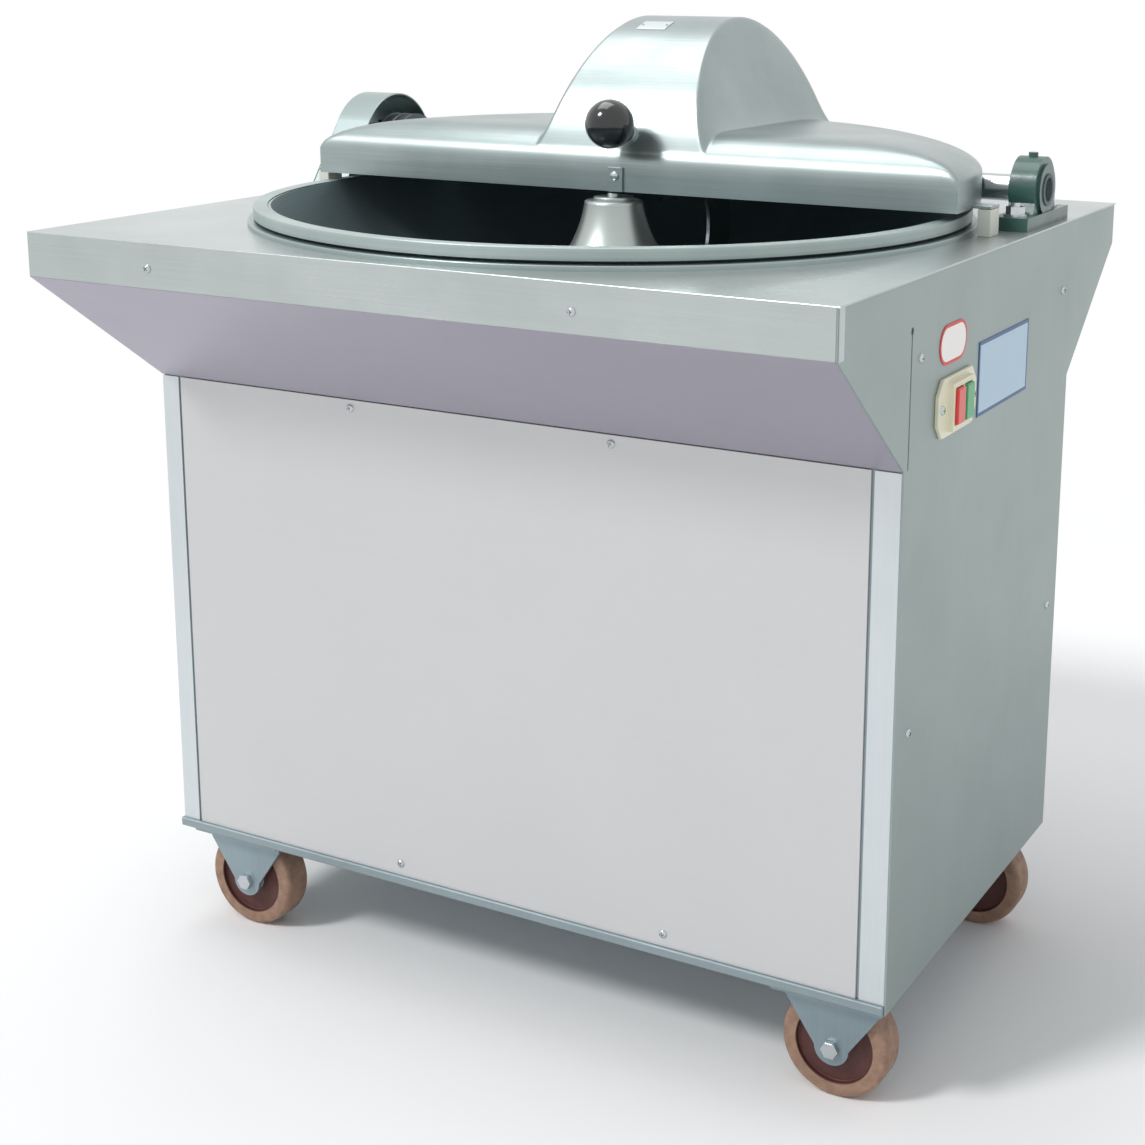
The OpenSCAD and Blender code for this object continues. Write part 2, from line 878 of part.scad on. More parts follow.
// folded strips that frame the front panel on both sides
module edge_strips() {
  color("#dfe3e6")
    at_mid() {
      span([cab_left, -cab_half, panel_z], [cab_left + strip_left_w, panel_t - cab_half, panel_top]);
      span([side_in - strip_right_w, -cab_half, panel_z], [side_in, panel_t - cab_half, panel_top]);
    }
}

module rear_panel() {
  louvre_z = table_h - gland_drop + louvre_rows * louvre_pitch;
  col_pitch = louvre_l + post_w;
  color("#cdcdd0")
    at_mid()
      difference() {
        span([cab_left, cab_half - panel_t, panel_z], [side_in, cab_half, panel_top]);
        for (c = [0 : louvre_cols - 1])
          for (r = [0 : louvre_rows - 1])
            translate([(c - (louvre_cols - 1) / 2) * col_pitch, 0, louvre_z - r * louvre_pitch])
              span([-louvre_l / 2, cab_half - panel_t - cut, 0], [louvre_l / 2, cab_half + cut, louvre_h]);
        translate([-gland_x, cab_half + cut, table_h - gland_drop])
          rotate([90, 0, 0])
            cylinder(d = gland_bore, h = panel_t + 2 * cut, $fn = 32);
      }
}

module right_side_panel() {
  color("#91a5a2")
    at_mid()
      difference() {
        across(side_in, side_face)
          polygon([[-cab_half, base_z], [cab_half, base_z], [cab_half, skirt_z], [table_half_d, rim_z],
            [table_half_d, table_h - table_t], [-table_half_d, table_h - table_t],
            [-table_half_d, rim_z], [-cab_half, skirt_z]]);
        span([side_in - cut, slit_in - cab_half, skirt_z],
          [side_face + cut, slit_in - cab_half + slit_w, skirt_z + slit_h]);
        translate([0, slit_in - cab_half + slit_w / 2, skirt_z + slit_h])
          rod(slit_hole_d / 2, side_in - cut, side_face + cut);
      }
}

module left_side_panel() {
  color("#b4bcbc")
    at_mid()
      span([cab_left, panel_t - cab_half, panel_z], [cab_left + panel_t, cab_half - panel_t, panel_top]);
}

// screws of the rim, the front panel, the right side and the switch plate
module panel_screws() {
  low_z = panel_z + lower_screw_h;
  high_z = panel_top - screw_d;
  rim_screw_z = table_h - rim_screw_drop;
  side_y = cab_half - side_screw_in;
  front = [[-upper_screw_left, high_z], [upper_screw_right, high_z], [-lower_screw_left, low_z],
    [lower_screw_right, low_z]];
  color("#a8b0b4")
    at_mid() {
      for (p = front)
        translate([p[0], -cab_half, p[1]])
          rotate([90, 0, 0])
            screw_head();
      for (turn = [0, 180])
        rotate([0, 0, turn])
          for (x = [-rim_screw_left, rim_screw_right])
            translate([x, -table_half_d, rim_screw_z])
              rotate([90, 0, 0])
                screw_head();
      for (y = [-side_y, side_y])
        for (drop = [side_screw_drop, side_screw_low])
          translate([side_face, y, table_h - drop])
            rotate([0, 90, 0])
              screw_head();
      for (s = [-1, 1])
        translate([side_face + switch_t, s * (switch_l / 2 - screw_d) - switch_y, switch_z])
          rotate([0, 90, 0])
            screw_head();
      for (x = [cab_left + post_w, side_in - post_w])
        for (z = [low_z, high_z])
          translate([x, cab_half, z])
            rotate([-90, 0, 0])
              screw_head();
    }
}

module cable_gland() {
  color("#2b2b2d")
    at_mid()
      translate([-gland_x, cab_half, table_h - gland_drop])
        rotate([-90, 0, 0])
          difference() {
            union() {
              hex_block(gland_d, gland_out / 2);
              cylinder(d = gland_d - screw_h, h = gland_out, $fn = 48);
            }
            translate([0, 0, -cut])
              cylinder(d = gland_bore, h = gland_out + 2 * cut, $fn = 32);
          }
}

// ---------- bowl ----------

// outline of the trough's hollow, grown outward by wall
module trough_outline(wall) {
  intersection() {
    translate([trough_x, trough_z])
      circle(r = trough_r + wall, $fn = 180);
    translate([0, -far])
      square([trough_x, 2 * far]);
  }
  intersection() {
    translate([trough_x, flare_z])
      circle(r = flare_r + wall, $fn = 240);
    translate([trough_x, -far])
      square([far, 2 * far]);
  }
}

// sheet of the bowl between two heights and two radii
module bowl_wall(r0, r1, z0, z1) {
  intersection() {
    difference() {
      trough_outline(bowl_t);
      trough_outline(0);
    }
    translate([r0, z0])
      square([r1 - r0, z1 - z0]);
  }
}

module bowl() {
  deep = trough_r + 2 * bowl_t;
  color("#59646a")
    at_bowl()
      rotate_extrude($fn = 180) {
        bowl_wall(0, trough_x, -deep, -hub_joint_z);
        bowl_wall(trough_x, lip_r, -deep, lip_h);
        translate([mouth_r, lip_h - lip_t])
          square([lip_w, lip_t]);
        translate([lip_r - lip_edge_t, lip_h - lip_edge_h])
          square([lip_edge_t, lip_edge_h]);
        translate([pilot_r, -hub_joint_z - web_t])
          square([web_r - pilot_r, web_t]);
      }
}

module hub_cone() {
  rim_in = trough_x - sqrt(pow(trough_r + bowl_t, 2) - pow(trough_z - hub_top_h, 2));
  top_r = trough_x - sqrt(pow(trough_r, 2) - pow(trough_z - hub_top_h, 2));
  color("#b7c0bd")
    at_bowl()
      rotate_extrude($fn = 120) {
        bowl_wall(0, trough_x, -hub_joint_z, hub_top_h);
        translate([hub_bore_r, hub_top_h - hub_plate_t])
          square([(rim_in + top_r) / 2 - hub_bore_r, hub_plate_t]);
      }
}

module hub_cap() {
  color("#c9d0d2")
    at_bowl()
      translate([0, 0, hub_top_h])
        difference() {
          union() {
            cylinder(r = cap_r, h = cap_t);
            translate([0, 0, cap_t])
              cylinder(r = stub_r, h = stub_h);
          }
          translate([0, 0, -cut])
            cylinder(r = stud_r, h = cap_t - hub_plate_t / 4 + cut);
        }
}

// spindle with the flange, pilot and stud that carry the bowl
module bowl_spindle() {
  color("#9ea5a8")
    translate([mid_x + bowl_x, bowl_y, 0]) {
      translate([0, 0, gear_top - spindle_in])
        cylinder(r = spindle_r, h = spindle_top - gear_top + spindle_in);
      translate([0, 0, spindle_top])
        cylinder(r = flange_r, h = flange_t);
      translate([0, 0, flange_z])
        cylinder(r = pilot_r - pilot_fit, h = pilot_h);
      translate([0, 0, flange_z + pilot_h])
        cylinder(r = stud_r, h = table_h + hub_top_h + cap_t - hub_plate_t / 4 - flange_z - pilot_h);
    }
}

module bowl_ring() {
  color("#9aa6a6")
    at_bowl()
      rotate_extrude($fn = 180) {
        translate([collar_r - collar_t, 0])
          square([ring_r - collar_r + collar_t, ring_h]);
        translate([collar_r - collar_t, 0])
          square([collar_t, collar_h]);
      }
}

// ---------- knife set ----------

module knife_shaft() {
  color("#c4c9cb")
    at_shaft() {
      rod(journal_r, -bearing_left_x - inner_ring_l / 2, bearing_right_x + inner_ring_l / 2 - shaft_recess);
      rod(shaft_r, -bearing_left_x + inner_ring_l / 2 + hinge_gap, bearing_right_x - inner_ring_l / 2);
    }
}

// one curved knife, flat in Y and Z, its tip toward +Y
module knife_outline() {
  difference() {
    union() {
      circle(r = clamp_r, $fn = 64);
      intersection() {
        circle(r = knife_r, $fn = 180);
        translate([back_out, back_side])
          circle(r = back_r, $fn = 120);
      }
    }
    translate([edge_out, -edge_side])
      circle(r = edge_r, $fn = 120);
    circle(r = shaft_r, $fn = 64);
  }
}

module knives() {
  color("#d6dadb")
    at_shaft()
      for (i = [0 : knife_n - 1])
        translate([bowl_x + (i - (knife_n - 1) / 2) * knife_pitch, 0, 0])
          rotate([360 * i / knife_n, 0, 0])
            across(-knife_t / 2, knife_t / 2)
              knife_outline();
}

// collars between the knives, end collar and clamp nut
module knife_clamps() {
  half = (knife_n - 1) / 2 * knife_pitch + knife_t / 2;
  color("#aab0b3")
    at_shaft()
      difference() {
        union() {
          for (i = [0 : knife_n - 2])
            rod(clamp_r - knife_t, bowl_x + knife_t / 2 + (i - (knife_n - 1) / 2) * knife_pitch,
              bowl_x - knife_t / 2 + (i + 1 - (knife_n - 1) / 2) * knife_pitch);
          rod(clamp_r, bowl_x - half - nut_l, bowl_x - half);
          across(bowl_x + half, bowl_x + half + nut_l)
            hexagon(nut_af);
        }
        rod(shaft_r, -far, far);
      }
}

module knife_pulley() {
  color("#6e7a7c")
    at_shaft()
      difference() {
        rod(knife_pulley_r, groove_1 - groove_pitch / 2, groove_2 + groove_pitch / 2);
        groove(groove_1, knife_pulley_r);
        groove(groove_2, knife_pulley_r);
        rod(shaft_r, -far, far);
      }
}

// turning inner rings of the two bearings
module bearing_rings() {
  color("#8d9496")
    at_shaft()
      for (x = [-bearing_left_x, bearing_right_x])
        difference() {
          rod(inner_ring_r, x - inner_ring_l / 2, x + inner_ring_l / 2);
          rod(journal_r, x - inner_ring_l, x + inner_ring_l);
        }
}

module bearing_housings() {
  color("#2f5a55") {
    at_shaft()
      for (x = [-bearing_left_x, bearing_right_x])
        translate([x, 0, 0])
          bearing_block();
    translate([mid_x + third_bearing_x, worm_y, worm_z])
      bearing_block();
  }
}

module bearing_bolts() {
  color("#c3c9cb")
    for (p = [[-bearing_left_x, shaft_y, shaft_z], [bearing_right_x, shaft_y, shaft_z],
        [third_bearing_x, worm_y, worm_z]])
      for (s = [-1, 1])
        translate([mid_x + p[0], p[1] + s * foot_bolt_pitch / 2, p[2] + foot_t - foot_z])
          hex_bolt();
}

// ---------- cover ----------

// half-moon hood with a rounded edge; t is taken off every face
module hood_solid(t) {
  edge_r1 = cover_r - t;
  wide = round_w - t;
  front_wide = front_round_w - t;
  rise = round_rise - t;
  front = -cover_front + t;
  intersection() {
    translate([bowl_x, bowl_y, 0])
      rotate_extrude($fn = 180)
        polygon(concat([[0, cover_z - t], [edge_r1, cover_z - t]],
          [for (s = arc_steps) [edge_r1 - wide + wide * cos(90 * s), cover_side_z + rise * sin(90 * s)]],
          [[0, cover_side_z + rise]]));
    across(-far, far)
      polygon(concat([[far, cover_z - t], [front, cover_z - t]],
        [for (s = arc_steps) [front + front_wide - front_wide * cos(90 * s), cover_side_z + rise * sin(90 * s)]],
        [[far, cover_side_z + rise]]));
  }
}

// dome over the knives, round about the shaft, with sides that lean in
module dome_solid(t) {
  half_low = dome_half - t + dome_lean * (shaft_z - cover_z + t);
  half_high = dome_half - t - dome_top_lean;
  intersection() {
    translate([0, shaft_y, shaft_z])
      rod(dome_r - t, -far, far);
    translate([dome_x, 0, 0])
      along(-table_d, table_d)
        polygon([[-half_low, cover_z - t], [half_low, cover_z - t],
          [half_high, shaft_z + dome_r], [-half_high, shaft_z + dome_r]]);
  }
}

module knife_cover() {
  color("#c3c8c9")
    at_mid()
      difference() {
        union() {
          hood_solid(0);
          dome_solid(0);
        }
        hood_solid(cover_t);
        dome_solid(cover_t);
        translate([0, shaft_y, shaft_z])
          rod(slot_half, -far, far);
        span([-far, shaft_y - slot_half, cover_z - cover_t - cut], [far, shaft_y + slot_half, shaft_z]);
      }
}

// arms with hinge eyes, and the tabs that sit on the rest blocks
module hinge_arms() {
  tab_in = rest_w * 2;
  color("#b4babb")
    at_mid()
      difference() {
        union() {
          for (s = [-1, 1])
            translate([bowl_x + s * hinge_out, 0, 0])
              difference() {
                union() {
                  span([-arm_w / 2, hinge_y - 3 * arm_h, hinge_z - arm_h / 2],
                    [arm_w / 2, hinge_y, hinge_z + arm_h / 2]);
                  translate([0, hinge_y, hinge_z])
                    rod(eye_r, -arm_w / 2, arm_w / 2);
                }
                translate([0, hinge_y, hinge_z])
                  rod(pin_r + run_fit, -arm_w, arm_w);
              }
          span([bowl_x + rest_out + rest_w - tab_in, rest_right_y, cover_z],
            [bowl_x + rest_out + rest_w, rest_right_y + rest_l, cover_z + tab_t]);
          span([bowl_x - rest_out - rest_w, rest_left_y, cover_z],
            [bowl_x - rest_out - rest_w + tab_in, rest_left_y + rest_l, cover_z + tab_t]);
        }
        translate([bowl_x, bowl_y, cover_z - cut])
          cylinder(r = cover_r, h = cover_edge_h + cut, $fn = 180);
        hood_solid(0);
      }
}

module rest_blocks() {
  color("#d9dcd0")
    at_mid() {
      span([bowl_x + rest_out, rest_right_y, table_h],
        [bowl_x + rest_out + rest_w, rest_right_y + rest_l, rest_top]);
      span([bowl_x - rest_out - rest_w, rest_left_y, table_h],
        [bowl_x - rest_out, rest_left_y + rest_l, rest_top]);
    }
}

module hinge_brackets() {
  inner = arm_w / 2 + hinge_gap;
  color("#b4babb")
    at_mid()
      for (s = [-1, 1])
        translate([bowl_x + s * hinge_out, hinge_y, 0])
          difference() {
            union() {
              for (m = [-1, 1])
                across(m * (inner + bracket_t / 2) - bracket_t / 2, m * (inner + bracket_t / 2) + bracket_t / 2)
                  union() {
                    polygon([[-bracket_front, table_h], [bracket_back, table_h],
                      [eye_r, hinge_z], [-eye_r, hinge_z]]);
                    translate([0, hinge_z])
                      circle(r = eye_r);
                  }
              span([-inner - bracket_t - bracket_side, -bracket_front, table_h],
                [inner + bracket_t + bracket_side, bracket_back, table_h + bracket_t]);
            }
            translate([0, 0, hinge_z])
              rod(pin_r, -far, far);
          }
}

module hinge_pins() {
  outer = arm_w / 2 + hinge_gap + bracket_t;
  color("#c3c9cb")
    at_mid()
      for (s = [-1, 1])
        translate([bowl_x + s * hinge_out, hinge_y, hinge_z]) {
          rod(pin_r, -outer, outer);
          rod(pin_r + washer_t, -outer - washer_t, -outer);
          rod(pin_r + washer_t, outer, outer + washer_t);
        }
}

module cover_catch() {
  color("#b4babb")
    at_mid()
      span([dome_x - catch_w / 2, -cover_front - catch_t, cover_z],
        [dome_x + catch_w / 2, -cover_front, cover_z + catch_h]);
}

// screw of the catch plate, and the blank plate's two rivets
module cover_screws() {
  color("#a8b0b4")
    at_mid() {
      translate([dome_x, -cover_front - catch_t, cover_z + catch_h - screw_d])
        rotate([90, 0, 0])
          screw_head();
      for (s = [-1, 1])
        translate([blank_x + s * (blank_w / 2 - screw_h), shaft_y, shaft_z])
          rotate([90 - blank_at, 0, 0])
            translate([0, 0, dome_r + plate_t])
              cylinder(d = screw_h, h = plate_t, $fn = 24);
    }
}

module knob_stem() {
  color("#b9bfc1")
    translate([mid_x + knob_x, shaft_y, shaft_z])
      difference() {
        rotate([90 - knob_rise, 0, 0]) {
          translate([0, 0, dome_r - cover_t])
            cylinder(r = stem_r, h = cover_t + knob_out - knob_r + stem_in);
          translate([0, 0, dome_r - cover_t])
            cylinder(r = stem_collar_r, h = cover_t + stem_collar_h);
        }
        rod(dome_r, -far, far);
      }
}

module ball_knob() {
  color("#141618")
    translate([mid_x + knob_x, shaft_y, shaft_z])
      rotate([90 - knob_rise, 0, 0])
        translate([0, 0, dome_r])
          difference() {
            translate([0, 0, knob_out])
              sphere(r = knob_r);
            cylinder(r = stem_r, h = knob_out - knob_r + stem_in);
          }
}

module dome_plate() {
  reach = dome_r + plate_t;
  color("#c9cfcf")
    translate([mid_x + blank_x, shaft_y, shaft_z])
      rotate([-blank_at + blank_arc / 2, 0, 0])
        difference() {
          rod(reach, -blank_w / 2, blank_w / 2);
          rod(dome_r, -blank_w, blank_w);
          span([-blank_w, -far, -far], [blank_w, far, 0]);
          rotate([-blank_arc, 0, 0])
            span([-blank_w, -far, 0], [blank_w, far, far]);
        }
}

// ---------- belt guard and belts ----------

// arch outline around the shaft; t is taken off every side
module guard_outline(t) {
  c = [shaft_y, shaft_z];
  front = [shaft_y - guard_half + t, table_h];
  rear = [shaft_y + guard_half - t, table_h];
  intersection() {
    union() {
      translate(c)
        circle(r = guard_r - t);
      polygon([front, touch(c, guard_r - t, front, 1), touch(c, guard_r - t, rear, -1), rear]);
    }
    translate([-far, table_h])
      square(2 * far);
  }
}

module belt_guard() {
  color("#b9c0c0")
    at_mid()
      union() {
        difference() {
          across(-table_half_w, guard_w - table_half_w)
            guard_outline(0);
          across(guard_t - table_half_w, guard_w - table_half_w + cut)
            guard_outline(guard_t);
        }
        for (y = [shaft_y - guard_half - guard_foot, shaft_y + guard_half])
          span([-table_half_w, y, table_h], [guard_w - table_half_w, y + guard_foot, table_h + guard_t]);
      }
}

module drive_belts() {
  knife_c = [shaft_y, shaft_z];
  motor_c = [motor_y, motor_z];
  gear_c = [worm_y, worm_z];
  color("#232425")
    at_mid() {
      belt(groove_1, motor_c, motor_pulley_r, knife_c, knife_pulley_r);
      belt(groove_2, motor_c, motor_pulley_r, knife_c, knife_pulley_r);
      belt(groove_3, gear_c, gear_pulley_r, motor_c, motor_small_r);
    }
}

// ---------- motor ----------

// places its children at the motor shaft
module at_motor() {
  translate([mid_x, motor_y, motor_z])
    children();
}

module motor_rails() {
  color("#7f898b")
    at_mid()
      for (x = [motor_face_x + bell_l + rail_w, motor_face_x + bell_l + motor_l - 2 * rail_w])
        span([x, panel_t - cab_half, rail_z], [x + rail_w, cab_half - panel_t, rail_z + rail_h]);
}

module motor_frame() {
  body_0 = motor_face_x + bell_l;
  body_1 = body_0 + motor_l;
  pad_0 = body_0 + (motor_l - foot_pad_l) / 2;
  color("#5b6f78")
    at_motor()
      difference() {
        union() {
          rod(motor_r, body_0, body_1);
          rod(motor_r - fin_h, motor_face_x, body_1 + bell_l);
          for (i = [0 : fin_n - 1])
            rotate([360 * i / fin_n, 0, 0])
              span([body_0 + fin_t, motor_r - fin_h / 2, -fin_t / 2], [body_1 - fin_t, motor_r + fin_h, fin_t / 2]);
          span([pad_0, -foot_span / 2, -motor_sh], [pad_0 + foot_pad_l, foot_span / 2, foot_pad_t - motor_sh]);
          span([pad_0, -motor_r + foot_pad_t, foot_pad_t - motor_sh],
            [pad_0 + foot_pad_l, motor_r - foot_pad_t, -motor_r / 3]);
        }
        rod(motor_shaft_r + run_fit, motor_face_x - cut, motor_face_x + shaft_in);
        rod(motor_shaft_r + run_fit, body_1 + bell_l - shaft_in, body_1 + bell_l + cut);
      }
}

module terminal_box() {
  box_w = 3 * post_w;
  box_x = motor_face_x + bell_l + motor_l / 2;
  color("#5b6f78")
    at_motor()
      difference() {
        span([box_x - box_w / 2, -box_w / 2, motor_r - fin_h], [box_x + box_w / 2, box_w / 2, motor_r + post_w + fin_h]);
        rod(motor_r + fin_h + cut, -far, far);
      }
}

module motor_shaft() {
  body_1 = motor_face_x + 2 * bell_l + motor_l;
  color("#b4babd")
    at_motor() {
      rod(motor_shaft_r, groove_1 - groove_pitch / 2 - cut, motor_face_x + shaft_in - cut);
      rod(motor_shaft_r, body_1 - shaft_in + cut, body_1 + cowl_l / 2);
    }
}

module motor_pulley() {
  step_x = groove_2 + groove_pitch / 2;
  color("#6e7a7c")
    at_motor()
      difference() {
        union() {
          rod(motor_pulley_r, groove_1 - groove_pitch / 2, step_x);
          rod(motor_small_r, step_x, groove_3 + groove_pitch / 2);
        }
        groove(groove_1, motor_pulley_r);
        groove(groove_2, motor_pulley_r);
        groove(groove_3, motor_small_r);
        rod(motor_shaft_r, -far, far);
      }
}

module motor_fan() {
  body_1 = motor_face_x + 2 * bell_l + motor_l;
  blade_r = motor_r - fin_h;
  color("#2b2b2d")
    at_motor()
      difference() {
        union() {
          rod(motor_shaft_r * 2, body_1 + cut, body_1 + cowl_l / 2);
          for (i = [0 : cowl_slots - 1])
            rotate([360 * i / cowl_slots, 0, 0])
              span([body_1 + cut, 3 / 2 * motor_shaft_r, -fin_t / 2], [body_1 + cowl_l / 2, blade_r, fin_t / 2]);
        }
        rod(motor_shaft_r, -far, far);
      }
}

module fan_cowl() {
  body_1 = motor_face_x + bell_l + motor_l;
  cowl_r = motor_r + fin_h;
  end_x = body_1 + bell_l + cowl_l;
  color("#4d5c63")
    at_motor()
      difference() {
        rod(cowl_r, body_1, end_x);
        rod(cowl_r - cowl_t, body_1 - cut, end_x - cowl_t);
        for (i = [0 : cowl_slots - 1])
          rotate([360 * i / cowl_slots, 0, 0])
            span([end_x - cowl_t - cut, motor_shaft_r * 2, -fin_t], [end_x + cut, motor_r - fin_h, fin_t]);
      }
}

// ---------- gearbox ----------

module support_beams() {
  beam_y = cab_half - panel_t;
  block_z = worm_z - foot_z;
  color("#7f898b")
    at_mid() {
      for (s = [-1, 1])
        span([bowl_x + s * beam_pitch / 2 - beam_w / 2, -beam_y, beam_z],
          [bowl_x + s * beam_pitch / 2 + beam_w / 2, beam_y, beam_z + beam_h]);
      span([third_bearing_x - beam_w, -beam_y, beam_z], [third_bearing_x + beam_w, beam_y, block_z]);
    }
}

module gearbox_housing() {
  base_half = gear_base_w / 2;
  color("#3d6a86")
    translate([mid_x, 0, 0])
      difference() {
        union() {
          span([bowl_x - base_half, bowl_y - base_half, gear_z],
            [bowl_x + base_half, worm_y + worm_case_r, gear_z + gear_base_t]);
          translate([bowl_x, bowl_y, gear_z])
            cylinder(r = wheel_case_r, h = gearbox_h - gear_base_t);
          translate([bowl_x, bowl_y, gear_z])
            cylinder(r = spindle_r * 2, h = gearbox_h);
          translate([0, worm_y, worm_z])
            rod(worm_case_r, bowl_x - worm_case_l / 2, bowl_x + worm_case_l / 2);
          span([bowl_x - wheel_case_r, bowl_y, gear_z], [bowl_x + wheel_case_r, worm_y, worm_z + worm_case_r / 2]);
        }
        translate([bowl_x, bowl_y, gear_top - spindle_in - cut])
          cylinder(r = spindle_r + run_fit, h = spindle_in + 2 * cut);
        translate([0, worm_y, worm_z])
          rod(worm_shaft_r + run_fit, bowl_x - worm_case_l / 2 - cut, bowl_x - worm_case_l / 2 + shaft_in);
      }
}

// worm shaft with the turning inner ring of its outer bearing
module worm_shaft() {
  color("#b4babd")
    translate([mid_x, worm_y, worm_z]) {
      rod(worm_shaft_r, groove_3 - groove_pitch / 2 - cut, bowl_x - worm_case_l / 2 + shaft_in - cut);
      rod(inner_ring_r, third_bearing_x - inner_ring_l / 2, third_bearing_x + inner_ring_l / 2);
    }
}

module gear_pulley() {
  color("#6e7a7c")
    translate([mid_x, worm_y, worm_z])
      difference() {
        rod(gear_pulley_r, groove_3 - groove_pitch / 2, groove_3 + groove_pitch / 2);
        groove(groove_3, gear_pulley_r);
        rod(worm_shaft_r, -far, far);
      }
}

// ---------- switch and plates ----------

// places its children on the right side, at the switch's centre
module at_switch() {
  translate([mid_x + side_face, -switch_y, switch_z])
    children();
}

module switch_housing() {
  ear = switch_l / 2 - hood_l / 2;
  half = switch_l / 2;
  tall = switch_h / 2;
  color("#e7e6d4")
    at_switch()
      difference() {
        union() {
          across(0, switch_t)
            polygon([[-half, -tall / 2], [-half + ear / 2, -tall], [half - ear / 2, -tall], [half, -tall / 2],
              [half, tall / 2], [half - ear / 2, tall], [-half + ear / 2, tall], [-half, tall / 2]]);
          span([0, -hood_l / 2, -hood_h / 2], [hood_out, hood_l / 2, hood_h / 2]);
        }
        for (s = [-1, 1])
          translate([0, s * button_pitch / 2, 0])
            span([cut, -button_w / 2 - button_gap, -button_h / 2 - button_gap],
              [hood_out + cut, button_w / 2 + button_gap, button_h / 2 + button_gap]);
      }
}

// push button; side is -1 for the front one and 1 for the rear one
module push_button(side) {
  at_switch()
    translate([0, side * button_pitch / 2, 0])
      span([cut + button_gap + button_travel, -button_w / 2, -button_h / 2],
        [hood_out + button_out, button_w / 2, button_h / 2]);
}

module stop_button() {
  color("#d8392b")
    push_button(-1);
}

module start_button() {
  color("#1f9d57")
    push_button(1);
}

module round_plate() {
  flat = round_l / 2 - round_h / 2;
  color("#f1efec")
    translate([mid_x, -round_y, table_h - round_drop]) {
      translate([0, -flat, 0])
        rod(round_h / 2, side_face, side_face + plate_t);
      translate([0, flat, 0])
        rod(round_h / 2, side_face, side_face + plate_t);
      span([side_face, -flat, -round_h / 2], [side_face + plate_t, flat, round_h / 2]);
    }
}

module rating_plate() {
  color("#b9cbd8")
    at_mid()
      span([side_face, -rating_y, table_h - rating_drop - rating_h],
        [side_face + plate_t, rating_l - rating_y, table_h - rating_drop]);
}

// ---------- casters ----------

// places of the four casters: right or left, front or rear
function caster_at(right, rear) = [mid_x + (right ? caster_right : -caster_left), rear ? caster_y : -caster_y, 0];

module caster_forks() {
  side_top = caster_plate_z;
  tip_w = fork_tip_r;
  color("#9fb0b6")
    for (right = [false, true])
      for (rear = [false, true])
        translate(caster_at(right, rear))
          difference() {
            union() {
              span([-caster_plate_l / 2, -caster_plate_w / 2, caster_plate_z],
                [caster_plate_l / 2, caster_plate_w / 2, base_z]);
              for (s = [-1, 1])
                along(s * (fork_half + fork_t / 2) - fork_t / 2, s * (fork_half + fork_t / 2) + fork_t / 2)
                  union() {
                    polygon([[-fork_top_w / 2, side_top], [-fork_top_w / 2, side_top - fork_edge_h],
                      [-tip_w, axle_z], [tip_w, axle_z], [fork_top_w / 2, side_top - fork_edge_h],
                      [fork_top_w / 2, side_top]]);
                    translate([0, axle_z])
                      circle(r = fork_tip_r, $fn = 48);
                  }
            }
            translate([0, 0, axle_z])
              rotate([90, 0, 0])
                translate([0, 0, -caster_plate_w])
                  cylinder(r = axle_r, h = 2 * caster_plate_w, $fn = 48);
          }
}

module axle_bolts() {
  outer = fork_half + fork_t;
  color("#b9c2c6")
    for (right = [false, true])
      for (rear = [false, true])
        translate(caster_at(right, rear))
          translate([0, 0, axle_z])
            rotate([90, 0, 0]) {
              translate([0, 0, -outer])
                cylinder(r = axle_r, h = 2 * outer, $fn = 48);
              translate([0, 0, outer])
                hex_block(axle_af, axle_head_h);
              translate([0, 0, -outer - axle_head_h])
                hex_block(axle_af, axle_head_h);
            }
}

// wheel about the Y axis, with a rounded tread and a dished core
module wheel(right, rear) {
  half = wheel_w / 2;
  hub_half = wheel_hub_w / 2;
  color("#8a6a55")
    translate(caster_at(right, rear) + [0, 0, axle_z])
      rotate([90, 0, 0])
        difference() {
          union() {
            rotate_extrude($fn = 96) {
              intersection() {
                translate([0, -half])
                  square([wheel_r, wheel_w]);
                union() {
                  translate([0, tread_round - half])
                    square([wheel_r, wheel_w - 2 * tread_round]);
                  translate([0, -half])
                    square([wheel_r - tread_round, wheel_w]);
                  for (s = [-1, 1])
                    translate([wheel_r - tread_round, s * (half - tread_round)])
                      circle(r = tread_round, $fn = 48);
                }
              }
            }
            translate([0, 0, -hub_half])
              cylinder(r = wheel_hub_r, h = wheel_hub_w, $fn = 48);
          }
          for (s = [0, 1])
            mirror([0, 0, s])
              translate([0, 0, half - dish_h])
                difference() {
                  cylinder(r = core_r, h = dish_h + cut, $fn = 96);
                  translate([0, 0, -cut])
                    cylinder(r = wheel_hub_r, h = dish_h + 3 * cut, $fn = 48);
                }
          translate([0, 0, -wheel_hub_w])
            cylinder(r = axle_r + run_fit, h = 2 * wheel_hub_w, $fn = 48);
        }
}

module wheel_front_right() {
  wheel(true, false);
}

module wheel_front_left() {
  wheel(false, false);
}

module wheel_rear_right() {
  wheel(true, true);
}

module wheel_rear_left() {
  wheel(false, true);
}

